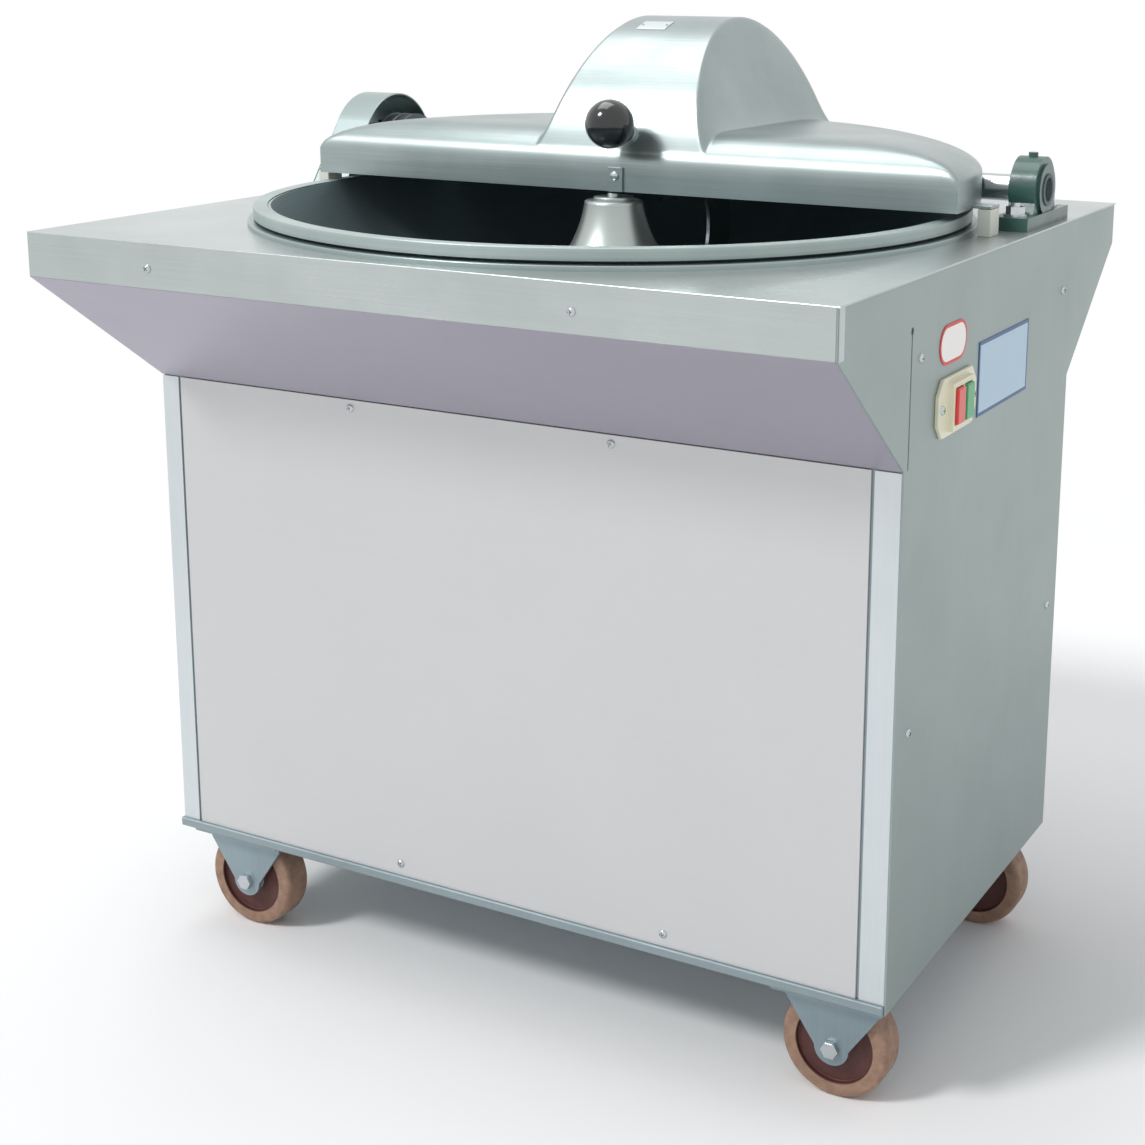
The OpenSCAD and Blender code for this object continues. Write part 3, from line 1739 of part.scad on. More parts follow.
base_frame();
bottom_panel();
inner_frame();
table_top();
front_skirt();
rear_skirt();
left_skirt();
front_panel();
edge_strips();
rear_panel();
right_side_panel();
left_side_panel();
panel_screws();
bowl_ring();
belt_guard();
bearing_housings();
bearing_bolts();
rest_blocks();
hinge_brackets();
hinge_pins();
round_plate();
rating_plate();
switch_housing();
drive_belts();
motor_rails();
motor_frame();
fan_cowl();
terminal_box();
gearbox_housing();
support_beams();
caster_forks();
axle_bolts();
cable_gland();
knife_cover();
hinge_arms();
cover_catch();
cover_screws();
knob_stem();
ball_knob();
dome_plate();
knife_shaft();
knives();
knife_clamps();
knife_pulley();
bearing_rings();
bowl();
hub_cone();
hub_cap();
bowl_spindle();
motor_shaft();
motor_pulley();
motor_fan();
worm_shaft();
gear_pulley();
start_button();
stop_button();
wheel_front_right();
wheel_front_left();
wheel_rear_right();
wheel_rear_left();
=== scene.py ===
"""Looks of the bowl cutter: smooth sheet metal, turned parts, fasteners, finishes, camera and light.

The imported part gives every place. Lengths in the classes are millimetres, as in the part's
source; meshes are made in metres. Z is up, the operator stands at -Y.
"""

import json
import logging
import math
from dataclasses import dataclass, field
from enum import Enum

import bmesh
import bpy
from mathutils import Euler, Matrix, Vector

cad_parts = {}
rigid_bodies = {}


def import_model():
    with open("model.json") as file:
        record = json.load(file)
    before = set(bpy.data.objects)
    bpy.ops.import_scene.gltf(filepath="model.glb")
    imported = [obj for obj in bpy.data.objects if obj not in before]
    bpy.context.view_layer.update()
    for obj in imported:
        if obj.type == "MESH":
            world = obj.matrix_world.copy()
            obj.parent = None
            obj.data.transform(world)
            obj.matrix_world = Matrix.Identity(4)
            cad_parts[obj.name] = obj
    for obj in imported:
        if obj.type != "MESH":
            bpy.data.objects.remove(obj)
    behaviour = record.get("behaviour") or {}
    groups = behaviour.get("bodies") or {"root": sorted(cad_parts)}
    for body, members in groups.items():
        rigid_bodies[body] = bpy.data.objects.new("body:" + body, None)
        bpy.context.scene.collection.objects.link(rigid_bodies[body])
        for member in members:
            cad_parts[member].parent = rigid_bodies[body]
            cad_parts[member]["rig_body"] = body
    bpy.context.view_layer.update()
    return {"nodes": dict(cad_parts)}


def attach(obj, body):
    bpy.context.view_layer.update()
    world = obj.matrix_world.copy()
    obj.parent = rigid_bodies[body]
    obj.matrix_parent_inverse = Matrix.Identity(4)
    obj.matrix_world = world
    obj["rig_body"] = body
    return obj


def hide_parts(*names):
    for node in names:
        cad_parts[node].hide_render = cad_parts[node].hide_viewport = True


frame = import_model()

LOG = logging.getLogger("bowl_cutter")
MM = 0.001
Colour = tuple[float, float, float]
Point = tuple[float, float, float]
Profile = list[tuple[float, float]]


# ---------- shared sizes ----------


@dataclass(frozen=True)
class Layout:
    """Places that several sub-assemblies share, in millimetres."""

    mid_x: float = -5.75
    table_h: float = 820.0
    bowl_x: float = 8.0
    bowl_y: float = 2.0
    shaft_y: float = 172.0
    shaft_z: float = 857.0
    side_face: float = 443.5

    def point(self, x: float, y: float, z: float) -> Point:
        """Returns a place given from the table's centre line as a place in the part, in mm."""
        return (x + self.mid_x, y, z)


LAYOUT = Layout()


class Grain(Enum):
    """Direction in which a metal surface was brushed or turned."""

    ALONG_X = "x"
    ALONG_Y = "y"
    ALONG_Z = "z"
    AROUND = "around"


# ---------- shader expressions ----------


class Tap:
    """A shader socket that takes part in Python expressions; each operator adds a Math node."""

    def __init__(self, shader: "Shader", socket: bpy.types.NodeSocket) -> None:
        """Holds one socket of a material.

        Args:
            shader: the material under construction.
            socket: the output that carries the value.
        """
        self.shader = shader
        self.socket = socket

    def _math(self, operation: str, left: "Tap | float", right: "Tap | float") -> "Tap":
        """Returns the result of one Math node."""
        return self.shader.node("ShaderNodeMath", {"operation": operation}, {0: left, 1: right})

    def __add__(self, other: "Tap | float") -> "Tap":
        """Returns self + other."""
        return self._math("ADD", self, other)

    def __radd__(self, other: float) -> "Tap":
        """Returns other + self."""
        return self._math("ADD", other, self)

    def __sub__(self, other: "Tap | float") -> "Tap":
        """Returns self - other."""
        return self._math("SUBTRACT", self, other)

    def __rsub__(self, other: float) -> "Tap":
        """Returns other - self."""
        return self._math("SUBTRACT", other, self)

    def __mul__(self, other: "Tap | float") -> "Tap":
        """Returns self * other."""
        return self._math("MULTIPLY", self, other)

    def __rmul__(self, other: float) -> "Tap":
        """Returns other * self."""
        return self._math("MULTIPLY", other, self)

    def __gt__(self, other: "Tap | float") -> "Tap":
        """Returns 1 where self is greater than other."""
        return self._math("GREATER_THAN", self, other)

    def __lt__(self, other: "Tap | float") -> "Tap":
        """Returns 1 where self is less than other."""
        return self._math("LESS_THAN", self, other)

    def size(self) -> "Tap":
        """Returns the value without its sign."""
        return self._math("ABSOLUTE", self, 0.0)

    def clip(self, low: float, high: float) -> "Tap":
        """Returns the value held between two limits."""
        return self._math("MINIMUM", self._math("MAXIMUM", self, low), high)


class Shader:
    """A material's node tree, built from expressions."""

    def __init__(self, name: str, tree: bpy.types.NodeTree | None = None) -> None:
        """Starts an empty node tree.

        Args:
            name: the material's name.
            tree: a node tree to fill in place of a new material's, as the world's.
        """
        self.material = None
        if tree is None:
            self.material = bpy.data.materials.new(name)
            self.material.use_nodes = True
            tree = self.material.node_tree
        self.tree = tree
        self.tree.nodes.clear()

    def node(
        self,
        kind: str,
        settings: dict[str, object],
        values: dict[int | str, object],
        output: int | str = 0,
    ) -> Tap:
        """Adds one node.

        Args:
            kind: the node's type.
            settings: what is set on the node itself; "stops" fills a colour ramp.
            values: numbers, colours or taps for its sockets, by number or name.
            output: the socket that carries the result.

        Returns:
            The chosen output.
        """
        node = self.tree.nodes.new(kind)
        for key, value in settings.items():
            if key == "stops":
                ramp = node.color_ramp.elements
                while len(ramp) < len(value):
                    ramp.new(0.5)
                for stop, (place, colour) in zip(ramp, value):
                    stop.position = place
                    stop.color = (*colour, 1.0)
            else:
                setattr(node, key, value)
        for key, value in values.items():
            socket = node.inputs[key]
            if isinstance(value, Tap):
                self.tree.links.new(value.socket, socket)
            elif isinstance(value, tuple) and len(value) == 3 and socket.type == "RGBA":
                socket.default_value = (*value, 1.0)
            else:
                socket.default_value = value
        return Tap(self, node.outputs[output]) if node.outputs else Tap(self, None)

    def place(self) -> Tap:
        """Returns the surface point in the object's own coordinates, in metres."""
        return self.node("ShaderNodeTexCoord", {}, {}, "Object")

    def part(self, vector: Tap, axis: int) -> Tap:
        """Returns one coordinate of a vector."""
        return self.node("ShaderNodeSeparateXYZ", {}, {0: vector}, axis)

    def scaled(self, vector: Tap, scale: Point, shift: Point = (0.0, 0.0, 0.0)) -> Tap:
        """Returns the vector moved by shift and then scaled.

        Args:
            vector: the coordinates.
            scale: factor on each axis.
            shift: metres taken off each axis first.

        Returns:
            The mapped coordinates.
        """
        offset = tuple(-a * b for a, b in zip(shift, scale))
        values = {"Vector": vector, "Location": offset, "Scale": scale}
        return self.node("ShaderNodeMapping", {"vector_type": "POINT"}, values)

    def noise(self, vector: Tap, scale: float, detail: float = 2.0, roughness: float = 0.5) -> Tap:
        """Returns smooth noise between 0 and 1.

        Args:
            vector: the coordinates.
            scale: lumps per metre.
            detail: number of finer layers.
            roughness: weight of the finer layers.

        Returns:
            The noise value.
        """
        values = {"Vector": vector, "Scale": scale, "Detail": detail, "Roughness": roughness}
        return self.node("ShaderNodeTexNoise", {"noise_dimensions": "3D"}, values, 0)

    def mix(self, factor: Tap | float, first: Tap | Colour, second: Tap | Colour) -> Tap:
        """Returns a blend of two colours.

        Args:
            factor: 0 for the first colour, 1 for the second.
            first: the colour at 0.
            second: the colour at 1.

        Returns:
            The blended colour.
        """
        settings = {"data_type": "RGBA", "blend_type": "MIX"}
        return self.node("ShaderNodeMix", settings, {0: factor, 6: first, 7: second}, 2)

    def distance(self, vector: Tap) -> Tap:
        """Returns the length of a vector."""
        return self.node("ShaderNodeVectorMath", {"operation": "LENGTH"}, {0: vector}, "Value")

    def bump(self, height: Tap, depth: float) -> Tap:
        """Returns a normal bent by a height.

        Args:
            height: relief between 0 and 1.
            depth: the relief's depth in metres.

        Returns:
            The normal.
        """
        return self.node("ShaderNodeBump", {}, {"Strength": 1.0, "Distance": depth, "Height": height})

    def finish(self, values: dict[int | str, object]) -> bpy.types.Material:
        """Closes the material with a Principled shader.

        Args:
            values: numbers, colours or taps for its sockets.

        Returns:
            The finished material.
        """
        surface = self.node("ShaderNodeBsdfPrincipled", {}, values)
        self.node("ShaderNodeOutputMaterial", {}, {"Surface": surface})
        return self.material


def srgb(red: int, green: int, blue: int) -> Colour:
    """Returns a screen colour, 0 to 255, as linear light."""
    shares = (v / 255 for v in (red, green, blue))
    return tuple(c / 12.92 if c <= 0.04045 else ((c + 0.055) / 1.055) ** 2.4 for c in shares)


# ---------- finishes ----------


@dataclass(frozen=True)
class Metal:
    """Brushed, turned or dull metal.

    Attributes:
        name: the material's name.
        colour: the plain colour.
        shade: the colour of streaks and handling marks.
        roughness: mean roughness.
        grain: direction of the fine streaks.
        streak: how strongly the streaks show in the colour, 0 to 1.
        cloud: how strongly broad marks show in the colour, 0 to 1.
        spread: how far the roughness varies.
        relief: depth of the streaks in millimetres.
        metallic: share of metal against a dull skin.
        centre: point on the turning axis, in millimetres, for grain that runs round.
        rim_r: distance from the axis past which the metal has its rim colour, in millimetres; the plain
            colour inside it is painted shade.
        rim: the rim's colour, painted light for the lit rim against the painted shade inside.
    """

    name: str
    colour: Colour
    shade: Colour
    roughness: float = 0.38
    grain: Grain = Grain.ALONG_X
    streak: float = 0.5
    cloud: float = 0.35
    spread: float = 0.12
    relief: float = 0.02
    metallic: float = 0.75
    centre: Point = (0.0, 0.0, 0.0)
    rim_r: float = math.inf
    rim: Colour = (0.0, 0.0, 0.0)

    def _radius(self, shader: Shader, place: Tap) -> Tap:
        """Returns the distance from the turning axis in metres."""
        return shader.distance(shader.scaled(place, (1.0, 1.0, 0.0), tuple(v * MM for v in self.centre)))

    def _streaks(self, shader: Shader, place: Tap) -> Tap:
        """Returns the fine streaks as a value between 0 and 1.

        Args:
            shader: the material under construction.
            place: the surface point, in metres.

        Returns:
            The streaks' value.
        """
        fine, long, turned = 900.0, 9.0, 700.0
        if self.grain is Grain.AROUND:
            radius, height = self._radius(shader, place), shader.part(place, 2)
            rings = shader.node("ShaderNodeCombineXYZ", {}, {0: radius * turned, 1: height * turned, 2: 0.0})
            return shader.noise(rings, 1.0, 3.0, 0.6)
        scale = {
            Grain.ALONG_X: (long, fine, fine),
            Grain.ALONG_Y: (fine, long, fine),
            Grain.ALONG_Z: (fine, fine, long),
        }[self.grain]
        return shader.noise(shader.scaled(place, scale), 1.0, 3.0, 0.6)

    def material(self) -> bpy.types.Material:
        """Returns the finish as a new material."""
        shader = Shader(self.name)
        place = shader.place()
        streaks = self._streaks(shader, place)
        clouds = shader.noise(place, 7.0, 4.0, 0.55)
        marks = (streaks - 0.5) * self.streak + (clouds - 0.45) * (2.0 * self.cloud) + 0.25
        colour = shader.mix(marks.clip(0.0, 1.0), self.colour, self.shade)
        # Painted light and shade: past rim_r the metal takes the lighter rim colour of the lit lip; the plain
        # colour inside stands for shade.
        if self.rim_r < math.inf:
            lit_rim_colour = shader.mix(marks.clip(0.0, 1.0), self.rim, self.shade)
            past = (self._radius(shader, place) - self.rim_r * MM) * 500.0
            colour = shader.mix(past.clip(0.0, 1.0), colour, lit_rim_colour)
        rough = (streaks - 0.5) * self.spread + (clouds - 0.5) * self.spread + self.roughness
        return shader.finish(
            {
                "Base Color": colour,
                "Metallic": self.metallic,
                "Roughness": rough.clip(0.08, 0.95),
                "Normal": shader.bump(streaks, self.relief * MM),
            }
        )


@dataclass(frozen=True)
class Coat:
    """Paint, plastic, rubber or resin.

    Attributes:
        name: the material's name.
        colour: the plain colour.
        worn: the colour of dust and wear.
        roughness: mean roughness.
        wear: how strongly the worn colour shows, 0 to 1.
        grit: lumps per metre of the surface's relief.
        relief: depth of the relief in millimetres.
        gloss: weight of a clear coat.
    """

    name: str
    colour: Colour
    worn: Colour
    roughness: float = 0.45
    wear: float = 0.3
    grit: float = 260.0
    relief: float = 0.05
    gloss: float = 0.0

    def material(self) -> bpy.types.Material:
        """Returns the finish as a new material."""
        shader = Shader(self.name)
        place = shader.place()
        broad = shader.noise(place, 24.0, 4.0, 0.6)
        fine = shader.noise(place, self.grit, 3.0, 0.5)
        factor = ((broad - 0.5) * 1.6 + 0.4) * self.wear
        rough = (broad - 0.5) * 0.16 + self.roughness
        return shader.finish(
            {
                "Base Color": shader.mix(factor.clip(0.0, 1.0), self.colour, self.worn),
                "Roughness": rough.clip(0.05, 1.0),
                "Coat Weight": self.gloss,
                "Coat Roughness": 0.12,
                "Normal": shader.bump(fine, self.relief * MM),
            }
        )


@dataclass(frozen=True)
class Tyre:
    """Caster wheel: a worn tread about a darker core, told apart by the distance from the axle.

    Attributes:
        name: the material's name.
        axle: a point on the axle, in millimetres.
        tread: the tread's colour.
        core: the core's colour.
        hub: the steel hub's colour.
        core_r: radius at which the tread starts.
        hub_r: radius of the steel hub.
    """

    name: str
    axle: Point
    tread: Colour
    core: Colour
    hub: Colour
    core_r: float = 41.0
    hub_r: float = 15.5

    def material(self) -> bpy.types.Material:
        """Returns the finish as a new material."""
        shader = Shader(self.name)
        place = shader.place()
        flat = shader.scaled(place, (1.0, 0.0, 1.0), tuple(v * MM for v in self.axle))
        radius = shader.distance(flat) * (1.0 / MM)
        dirt = shader.noise(place, 90.0, 4.0, 0.6)
        tread = shader.mix((dirt * 1.3 - 0.3).clip(0.0, 1.0), self.tread, srgb(96, 74, 62))
        core = shader.mix((dirt * 0.8).clip(0.0, 1.0), self.core, srgb(58, 32, 28))
        colour = shader.mix(radius > self.core_r, core, tread)
        colour = shader.mix(radius < self.hub_r, colour, self.hub)
        return shader.finish(
            {
                "Base Color": colour,
                "Roughness": (dirt * 0.25 + 0.42).clip(0.0, 1.0),
                "Normal": shader.bump(dirt, 0.12 * MM),
            }
        )


class PlateShape(Enum):
    """Outline of a bare plate's coloured border."""

    OVAL = "oval"
    SQUARE = "square"


@dataclass(frozen=True)
class BorderedPlate:
    """Bare plate with a plain border, on the right side panel.

    Attributes:
        name: the material's name.
        shape: outline of the border.
        centre: middle of the plate, in millimetres.
        half_l: half its length along Y.
        half_h: half its height.
        border: width of the border.
        rim: the border's colour.
        inner: the colour inside it.
    """

    name: str
    shape: PlateShape
    centre: Point
    half_l: float
    half_h: float
    border: float
    rim: Colour
    inner: Colour

    def material(self) -> bpy.types.Material:
        """Returns the finish as a new material."""
        shader = Shader(self.name)
        place = shader.place()
        local = shader.scaled(place, (0.0, 1.0, 1.0), tuple(v * MM for v in self.centre))
        if self.shape is PlateShape.OVAL:
            spine = (self.half_l - self.half_h) * MM
            along = (shader.part(local, 1).size() - spine).clip(0.0, 1.0)
            ends = shader.node("ShaderNodeCombineXYZ", {}, {0: along, 1: shader.part(local, 2), 2: 0.0})
            outside = shader.distance(ends) > (self.half_h - self.border) * MM
        else:
            wide = shader.part(local, 1).size() > (self.half_l - self.border) * MM
            tall = shader.part(local, 2).size() > (self.half_h - self.border) * MM
            outside = (wide + tall).clip(0.0, 1.0)
        clouds = shader.noise(place, 40.0, 3.0, 0.5)
        colour = shader.mix(outside, self.inner, self.rim)
        return shader.finish(
            {"Base Color": colour, "Roughness": (clouds * 0.15 + 0.3).clip(0.0, 1.0), "Metallic": 0.1}
        )


BOWL_AXIS = LAYOUT.point(LAYOUT.bowl_x, LAYOUT.bowl_y, 0.0)
TABLE_STEEL = Metal(
    "table_steel", srgb(194, 201, 200), srgb(156, 167, 166), roughness=0.3, cloud=0.5, metallic=0.8
)
# Skirts: a darker copy of the cabinet's stainless steel, painted shade for the downward-facing skirts.
SKIRT_STEEL_PAINTED_SHADE = Metal(
    "skirt_steel_painted_shade",
    srgb(174, 170, 182),
    srgb(160, 157, 168),
    roughness=0.42,
    streak=0.35,
    cloud=0.25,
    spread=0.08,
    relief=0.015,
    metallic=0.6,
)
PANEL_STEEL = Metal(
    "panel_steel",
    srgb(205, 206, 207),
    srgb(195, 196, 198),
    roughness=0.5,
    streak=0.25,
    cloud=0.2,
    spread=0.08,
    relief=0.01,
    metallic=0.45,
)
# Side panels: a darker, greener copy of the cabinet's stainless steel, painted shade and dark reflection for
# sides that face away from the key light.
SIDE_STEEL_PAINTED_SHADE = Metal(
    "side_steel_painted_shade",
    srgb(158, 171, 169),
    srgb(138, 151, 150),
    roughness=0.42,
    grain=Grain.ALONG_Z,
    streak=0.35,
    cloud=0.4,
    spread=0.1,
    relief=0.015,
    metallic=0.6,
)
STRIP_STEEL = Metal(
    "strip_steel",
    srgb(214, 220, 222),
    srgb(186, 194, 198),
    roughness=0.34,
    grain=Grain.ALONG_Z,
    streak=0.4,
    cloud=0.3,
    spread=0.1,
    relief=0.015,
    metallic=0.7,
)
FRAME_STEEL = Metal(
    "frame_paint",
    srgb(150, 164, 168),
    srgb(120, 134, 140),
    roughness=0.5,
    streak=0.3,
    cloud=0.5,
    spread=0.15,
    relief=0.03,
    metallic=0.4,
)
COVER_METAL = Metal(
    "cover_aluminium",
    srgb(166, 176, 176),
    srgb(118, 134, 133),
    roughness=0.33,
    streak=0.6,
    cloud=0.6,
    spread=0.14,
    metallic=0.85,
)
# Bowl steel: the dark plain colour is painted shade and dark reflection inside the bowl; the lighter rim
# colour past rim_r is the lit lip, painted light.
BOWL_METAL_PAINTED_SHADE = Metal(
    "bowl_steel_painted_shade",
    srgb(128, 144, 147),
    srgb(78, 92, 97),
    roughness=0.4,
    grain=Grain.AROUND,
    metallic=0.6,
    centre=BOWL_AXIS,
    rim_r=363.0,
    rim=srgb(186, 200, 197),
)
HUB_METAL = Metal(
    "hub_aluminium",
    srgb(190, 197, 194),
    srgb(146, 158, 155),
    roughness=0.34,
    grain=Grain.AROUND,
    streak=0.2,
    cloud=0.3,
    spread=0.1,
    metallic=0.85,
    centre=BOWL_AXIS,
)
RING_METAL = Metal(
    "ring_steel",
    srgb(168, 182, 181),
    srgb(118, 134, 134),
    roughness=0.32,
    grain=Grain.AROUND,
    streak=0.4,
    spread=0.1,
    metallic=0.8,
    centre=BOWL_AXIS,
)
BRIGHT_STEEL = Metal(
    "bright_steel",
    srgb(206, 211, 213),
    srgb(150, 158, 162),
    roughness=0.24,
    streak=0.3,
    cloud=0.3,
    spread=0.1,
    relief=0.01,
    metallic=1.0,
)
ZINC = Metal(
    "zinc",
    srgb(150, 166, 172),
    srgb(104, 120, 128),
    roughness=0.42,
    grain=Grain.ALONG_Z,
    streak=0.3,
    cloud=0.6,
    spread=0.2,
    relief=0.03,
    metallic=0.6,
)
CAST_IRON = Metal(
    "cast_iron",
    srgb(112, 122, 124),
    srgb(70, 78, 80),
    roughness=0.55,
    streak=0.2,
    cloud=0.6,
    spread=0.15,
    relief=0.08,
    metallic=0.7,
)
BEARING_PAINT = Coat(
    "bearing_paint",
    srgb(52, 92, 84),
    srgb(24, 48, 46),
    roughness=0.34,
    wear=0.5,
    grit=160.0,
    relief=0.25,
    gloss=0.3,
)
MOTOR_PAINT = Coat(
    "motor_paint", srgb(84, 104, 112), srgb(52, 66, 72), roughness=0.42, wear=0.4, grit=200.0, relief=0.15
)
GEARBOX_PAINT = Coat(
    "gearbox_paint", srgb(74, 96, 92), srgb(44, 60, 58), roughness=0.42, wear=0.4, grit=200.0, relief=0.2
)
BELT_RUBBER = Coat(
    "belt_rubber", srgb(38, 39, 40), srgb(70, 70, 68), roughness=0.75, wear=0.4, grit=500.0, relief=0.08
)
BLACK_PLASTIC = Coat("black_plastic", srgb(40, 41, 43), srgb(66, 66, 68), grit=300.0, relief=0.04)
KNOB_BLACK = Coat(
    "knob_black", srgb(16, 18, 22), srgb(28, 30, 34), roughness=0.14, grit=60.0, relief=0.01, gloss=0.6
)
REST_NYLON = Coat(
    "rest_nylon", srgb(222, 224, 214), srgb(190, 190, 176), roughness=0.5, grit=200.0, relief=0.03
)
SWITCH_CREAM = Coat(
    "switch_cream",
    srgb(236, 233, 208),
    srgb(206, 200, 170),
    roughness=0.35,
    wear=0.25,
    grit=120.0,
    relief=0.02,
    gloss=0.2,
)
STOP_RED = Coat(
    "stop_red", srgb(226, 58, 46), srgb(190, 40, 34), roughness=0.3, grit=120.0, relief=0.02, gloss=0.3
)
START_GREEN = Coat(
    "start_green", srgb(34, 166, 98), srgb(22, 132, 78), roughness=0.3, grit=120.0, relief=0.02, gloss=0.3
)
ROUND_FACE = BorderedPlate(
    "round_plate",
    PlateShape.OVAL,
    centre=(438.0, -130.0, 746.0),
    half_l=36.0,
    half_h=19.0,
    border=3.2,
    rim=srgb(214, 52, 50),
    inner=srgb(245, 243, 240),
)
RATING_FACE = BorderedPlate(
    "rating_plate",
    PlateShape.SQUARE,
    centre=(438.0, 20.0, 696.0),
    half_l=76.0,
    half_h=37.0,
    border=3.6,
    rim=srgb(46, 84, 138),
    inner=srgb(176, 203, 222),
)


# ---------- meshes ----------


def stand_in(obj: bpy.types.Object, body: str, slot: str, *nodes: str) -> bpy.types.Object:
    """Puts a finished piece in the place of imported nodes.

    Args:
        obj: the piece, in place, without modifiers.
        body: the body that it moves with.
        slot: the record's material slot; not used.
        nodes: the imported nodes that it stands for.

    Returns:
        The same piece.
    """
    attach(obj, body)
    if nodes:
        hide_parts(*nodes)
    LOG.info("%s: %d faces on %s", obj.name, len(obj.data.polygons), body)
    return obj


def show_mesh(name: str, mesh: bpy.types.Mesh, finish: object, sharp: float = 32.0) -> bpy.types.Object:
    """Links a mesh as an object with one finish and smooth shading between its sharp edges.

    Args:
        name: the object's name.
        mesh: the mesh, in metres, in the part's place.
        finish: the finish whose material it takes.
        sharp: angle in degrees past which an edge stays sharp.

    Returns:
        The new object.
    """
    mesh.materials.clear()
    mesh.materials.append(FINISHES.get(finish))
    mesh.polygons.foreach_set("use_smooth", [True] * len(mesh.polygons))
    mesh.set_sharp_from_angle(angle=math.radians(sharp))
    obj = bpy.data.objects.new(name, mesh)
    bpy.context.scene.collection.objects.link(obj)
    return obj


def made_plain(obj: bpy.types.Object) -> bpy.types.Mesh:
    """Turns an object's evaluated shape into a plain mesh and removes its modifiers.

    Args:
        obj: an object with modifiers.

    Returns:
        The plain mesh.
    """
    bpy.context.view_layer.update()
    graph = bpy.context.evaluated_depsgraph_get()
    shown = obj.evaluated_get(graph)
    mesh = bpy.data.meshes.new_from_object(shown, preserve_all_data_layers=True, depsgraph=graph)
    obj.modifiers.clear()
    obj.data = mesh
    return mesh


class FinishBook:
    """Materials made so far, one for each finish."""

    def __init__(self) -> None:
        """Starts with no materials."""
        self.made: dict[object, bpy.types.Material] = {}

    def get(self, finish: object) -> bpy.types.Material:
        """Returns the finish's material, made on its first use."""
        if finish not in self.made:
            self.made[finish] = finish.material()
        return self.made[finish]


FINISHES = FinishBook()


def softened(
    node: str, finish: object, slot: str, edge: float = 0.6, sharp: float = 32.0
) -> bpy.types.Object:
    """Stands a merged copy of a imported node, with rounded edges, in the node's place.

    Args:
        node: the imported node.
        finish: its finish.
        slot: the record's material slot.
        edge: width of the edge rounding in millimetres, or 0.
        sharp: angle in degrees past which an edge is rounded, or stays sharp.

    Returns:
        The copy.
    """
    shape = bmesh.new()
    shape.from_mesh(frame["nodes"][node].data)
    bmesh.ops.remove_doubles(shape, verts=shape.verts, dist=2e-6)
    bmesh.ops.dissolve_limit(shape, angle_limit=math.radians(0.4), verts=shape.verts, edges=shape.edges)
    mesh = bpy.data.meshes.new(node + "_finished")
    shape.to_mesh(mesh)
    shape.free()
    obj = show_mesh(node + "_finished", mesh, finish, sharp)
    if edge > 0:
        bevel = obj.modifiers.new("rounding", "BEVEL")
        bevel.limit_method = "ANGLE"
        bevel.angle_limit = math.radians(sharp)
        bevel.width = edge * MM
        bevel.segments = 2
        bevel.use_clamp_overlap = True
        bevel.harden_normals = False
    weighted = obj.modifiers.new("flat_faces", "WEIGHTED_NORMAL")
    weighted.keep_sharp = True
    made_plain(obj)
    return stand_in(obj, frame["nodes"][node]["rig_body"], slot, node)


def rounded_profile(corners: list[tuple[float, float, float]], steps: int = 4) -> Profile:
    """Rounds the corners of a closed profile.

    Args:
        corners: radius, height and corner radius of each corner.
        steps: pieces in each rounding.

    Returns:
        The profile's points.
    """
    points: Profile = []
    count = len(corners)
    for i, (x, z, radius) in enumerate(corners):
        here = Vector((x, z))
        before = Vector(corners[i - 1][:2]) - here
        after = Vector(corners[(i + 1) % count][:2]) - here
        if radius <= 0:
            points.append((x, z))
            continue
        bend = before.angle(after)
        reach = min(radius / math.tan(bend / 2), before.length * 0.49, after.length * 0.49)
        start, end = here + before.normalized() * reach, here + after.normalized() * reach
        for k in range(steps + 1):
            t = k / steps
            spot = start.lerp(here, t).lerp(here.lerp(end, t), t)
            points.append((spot.x, spot.y))
    return points


def lathe(name: str, profile: Profile, axis: Matrix, segments: int) -> bpy.types.Mesh:
    """Turns a closed profile about an axis.

    Args:
        name: the mesh's name.
        profile: radius and height of each point, in millimetres, all with radius over 0
            or closed on the axis by points with radius 0.
        axis: places the turned shape, whose axis is Z, in the part.
        segments: number of steps round the axis.

    Returns:
        The mesh, closed and facing outwards.
    """
    shape = bmesh.new()
    rings = []
    for k in range(segments):
        turn = 2 * math.pi * k / segments
        rings.append(
            [
                shape.verts.new(axis @ Vector((r * MM * math.cos(turn), r * MM * math.sin(turn), z * MM)))
                for r, z in profile
            ]
        )
    count = len(profile)
    for k in range(segments):
        ring, following = rings[k], rings[(k + 1) % segments]
        for i in range(count):
            j = (i + 1) % count
            if profile[i][0] == 0 and profile[j][0] == 0:
                continue
            shape.faces.new((ring[i], following[i], following[j], ring[j]))
    bmesh.ops.remove_doubles(shape, verts=shape.verts, dist=1e-7)
    bmesh.ops.dissolve_degenerate(shape, edges=shape.edges, dist=1e-8)
    bmesh.ops.recalc_face_normals(shape, faces=shape.faces)
    mesh = bpy.data.meshes.new(name)
    shape.to_mesh(mesh)
    shape.free()
    return mesh


def axis_at(place: Point, along: Point = (0.0, 0.0, 1.0)) -> Matrix:
    """Returns the placing of a turned shape.

    Args:
        place: its origin in the part, in millimetres.
        along: the direction of its axis.

    Returns:
        The matrix, in metres.
    """
    turn = Vector(along).to_track_quat("Z", "Y").to_matrix().to_4x4()
    return Matrix.Translation(Vector(place) * MM) @ turn


# ---------- repeated pieces ----------


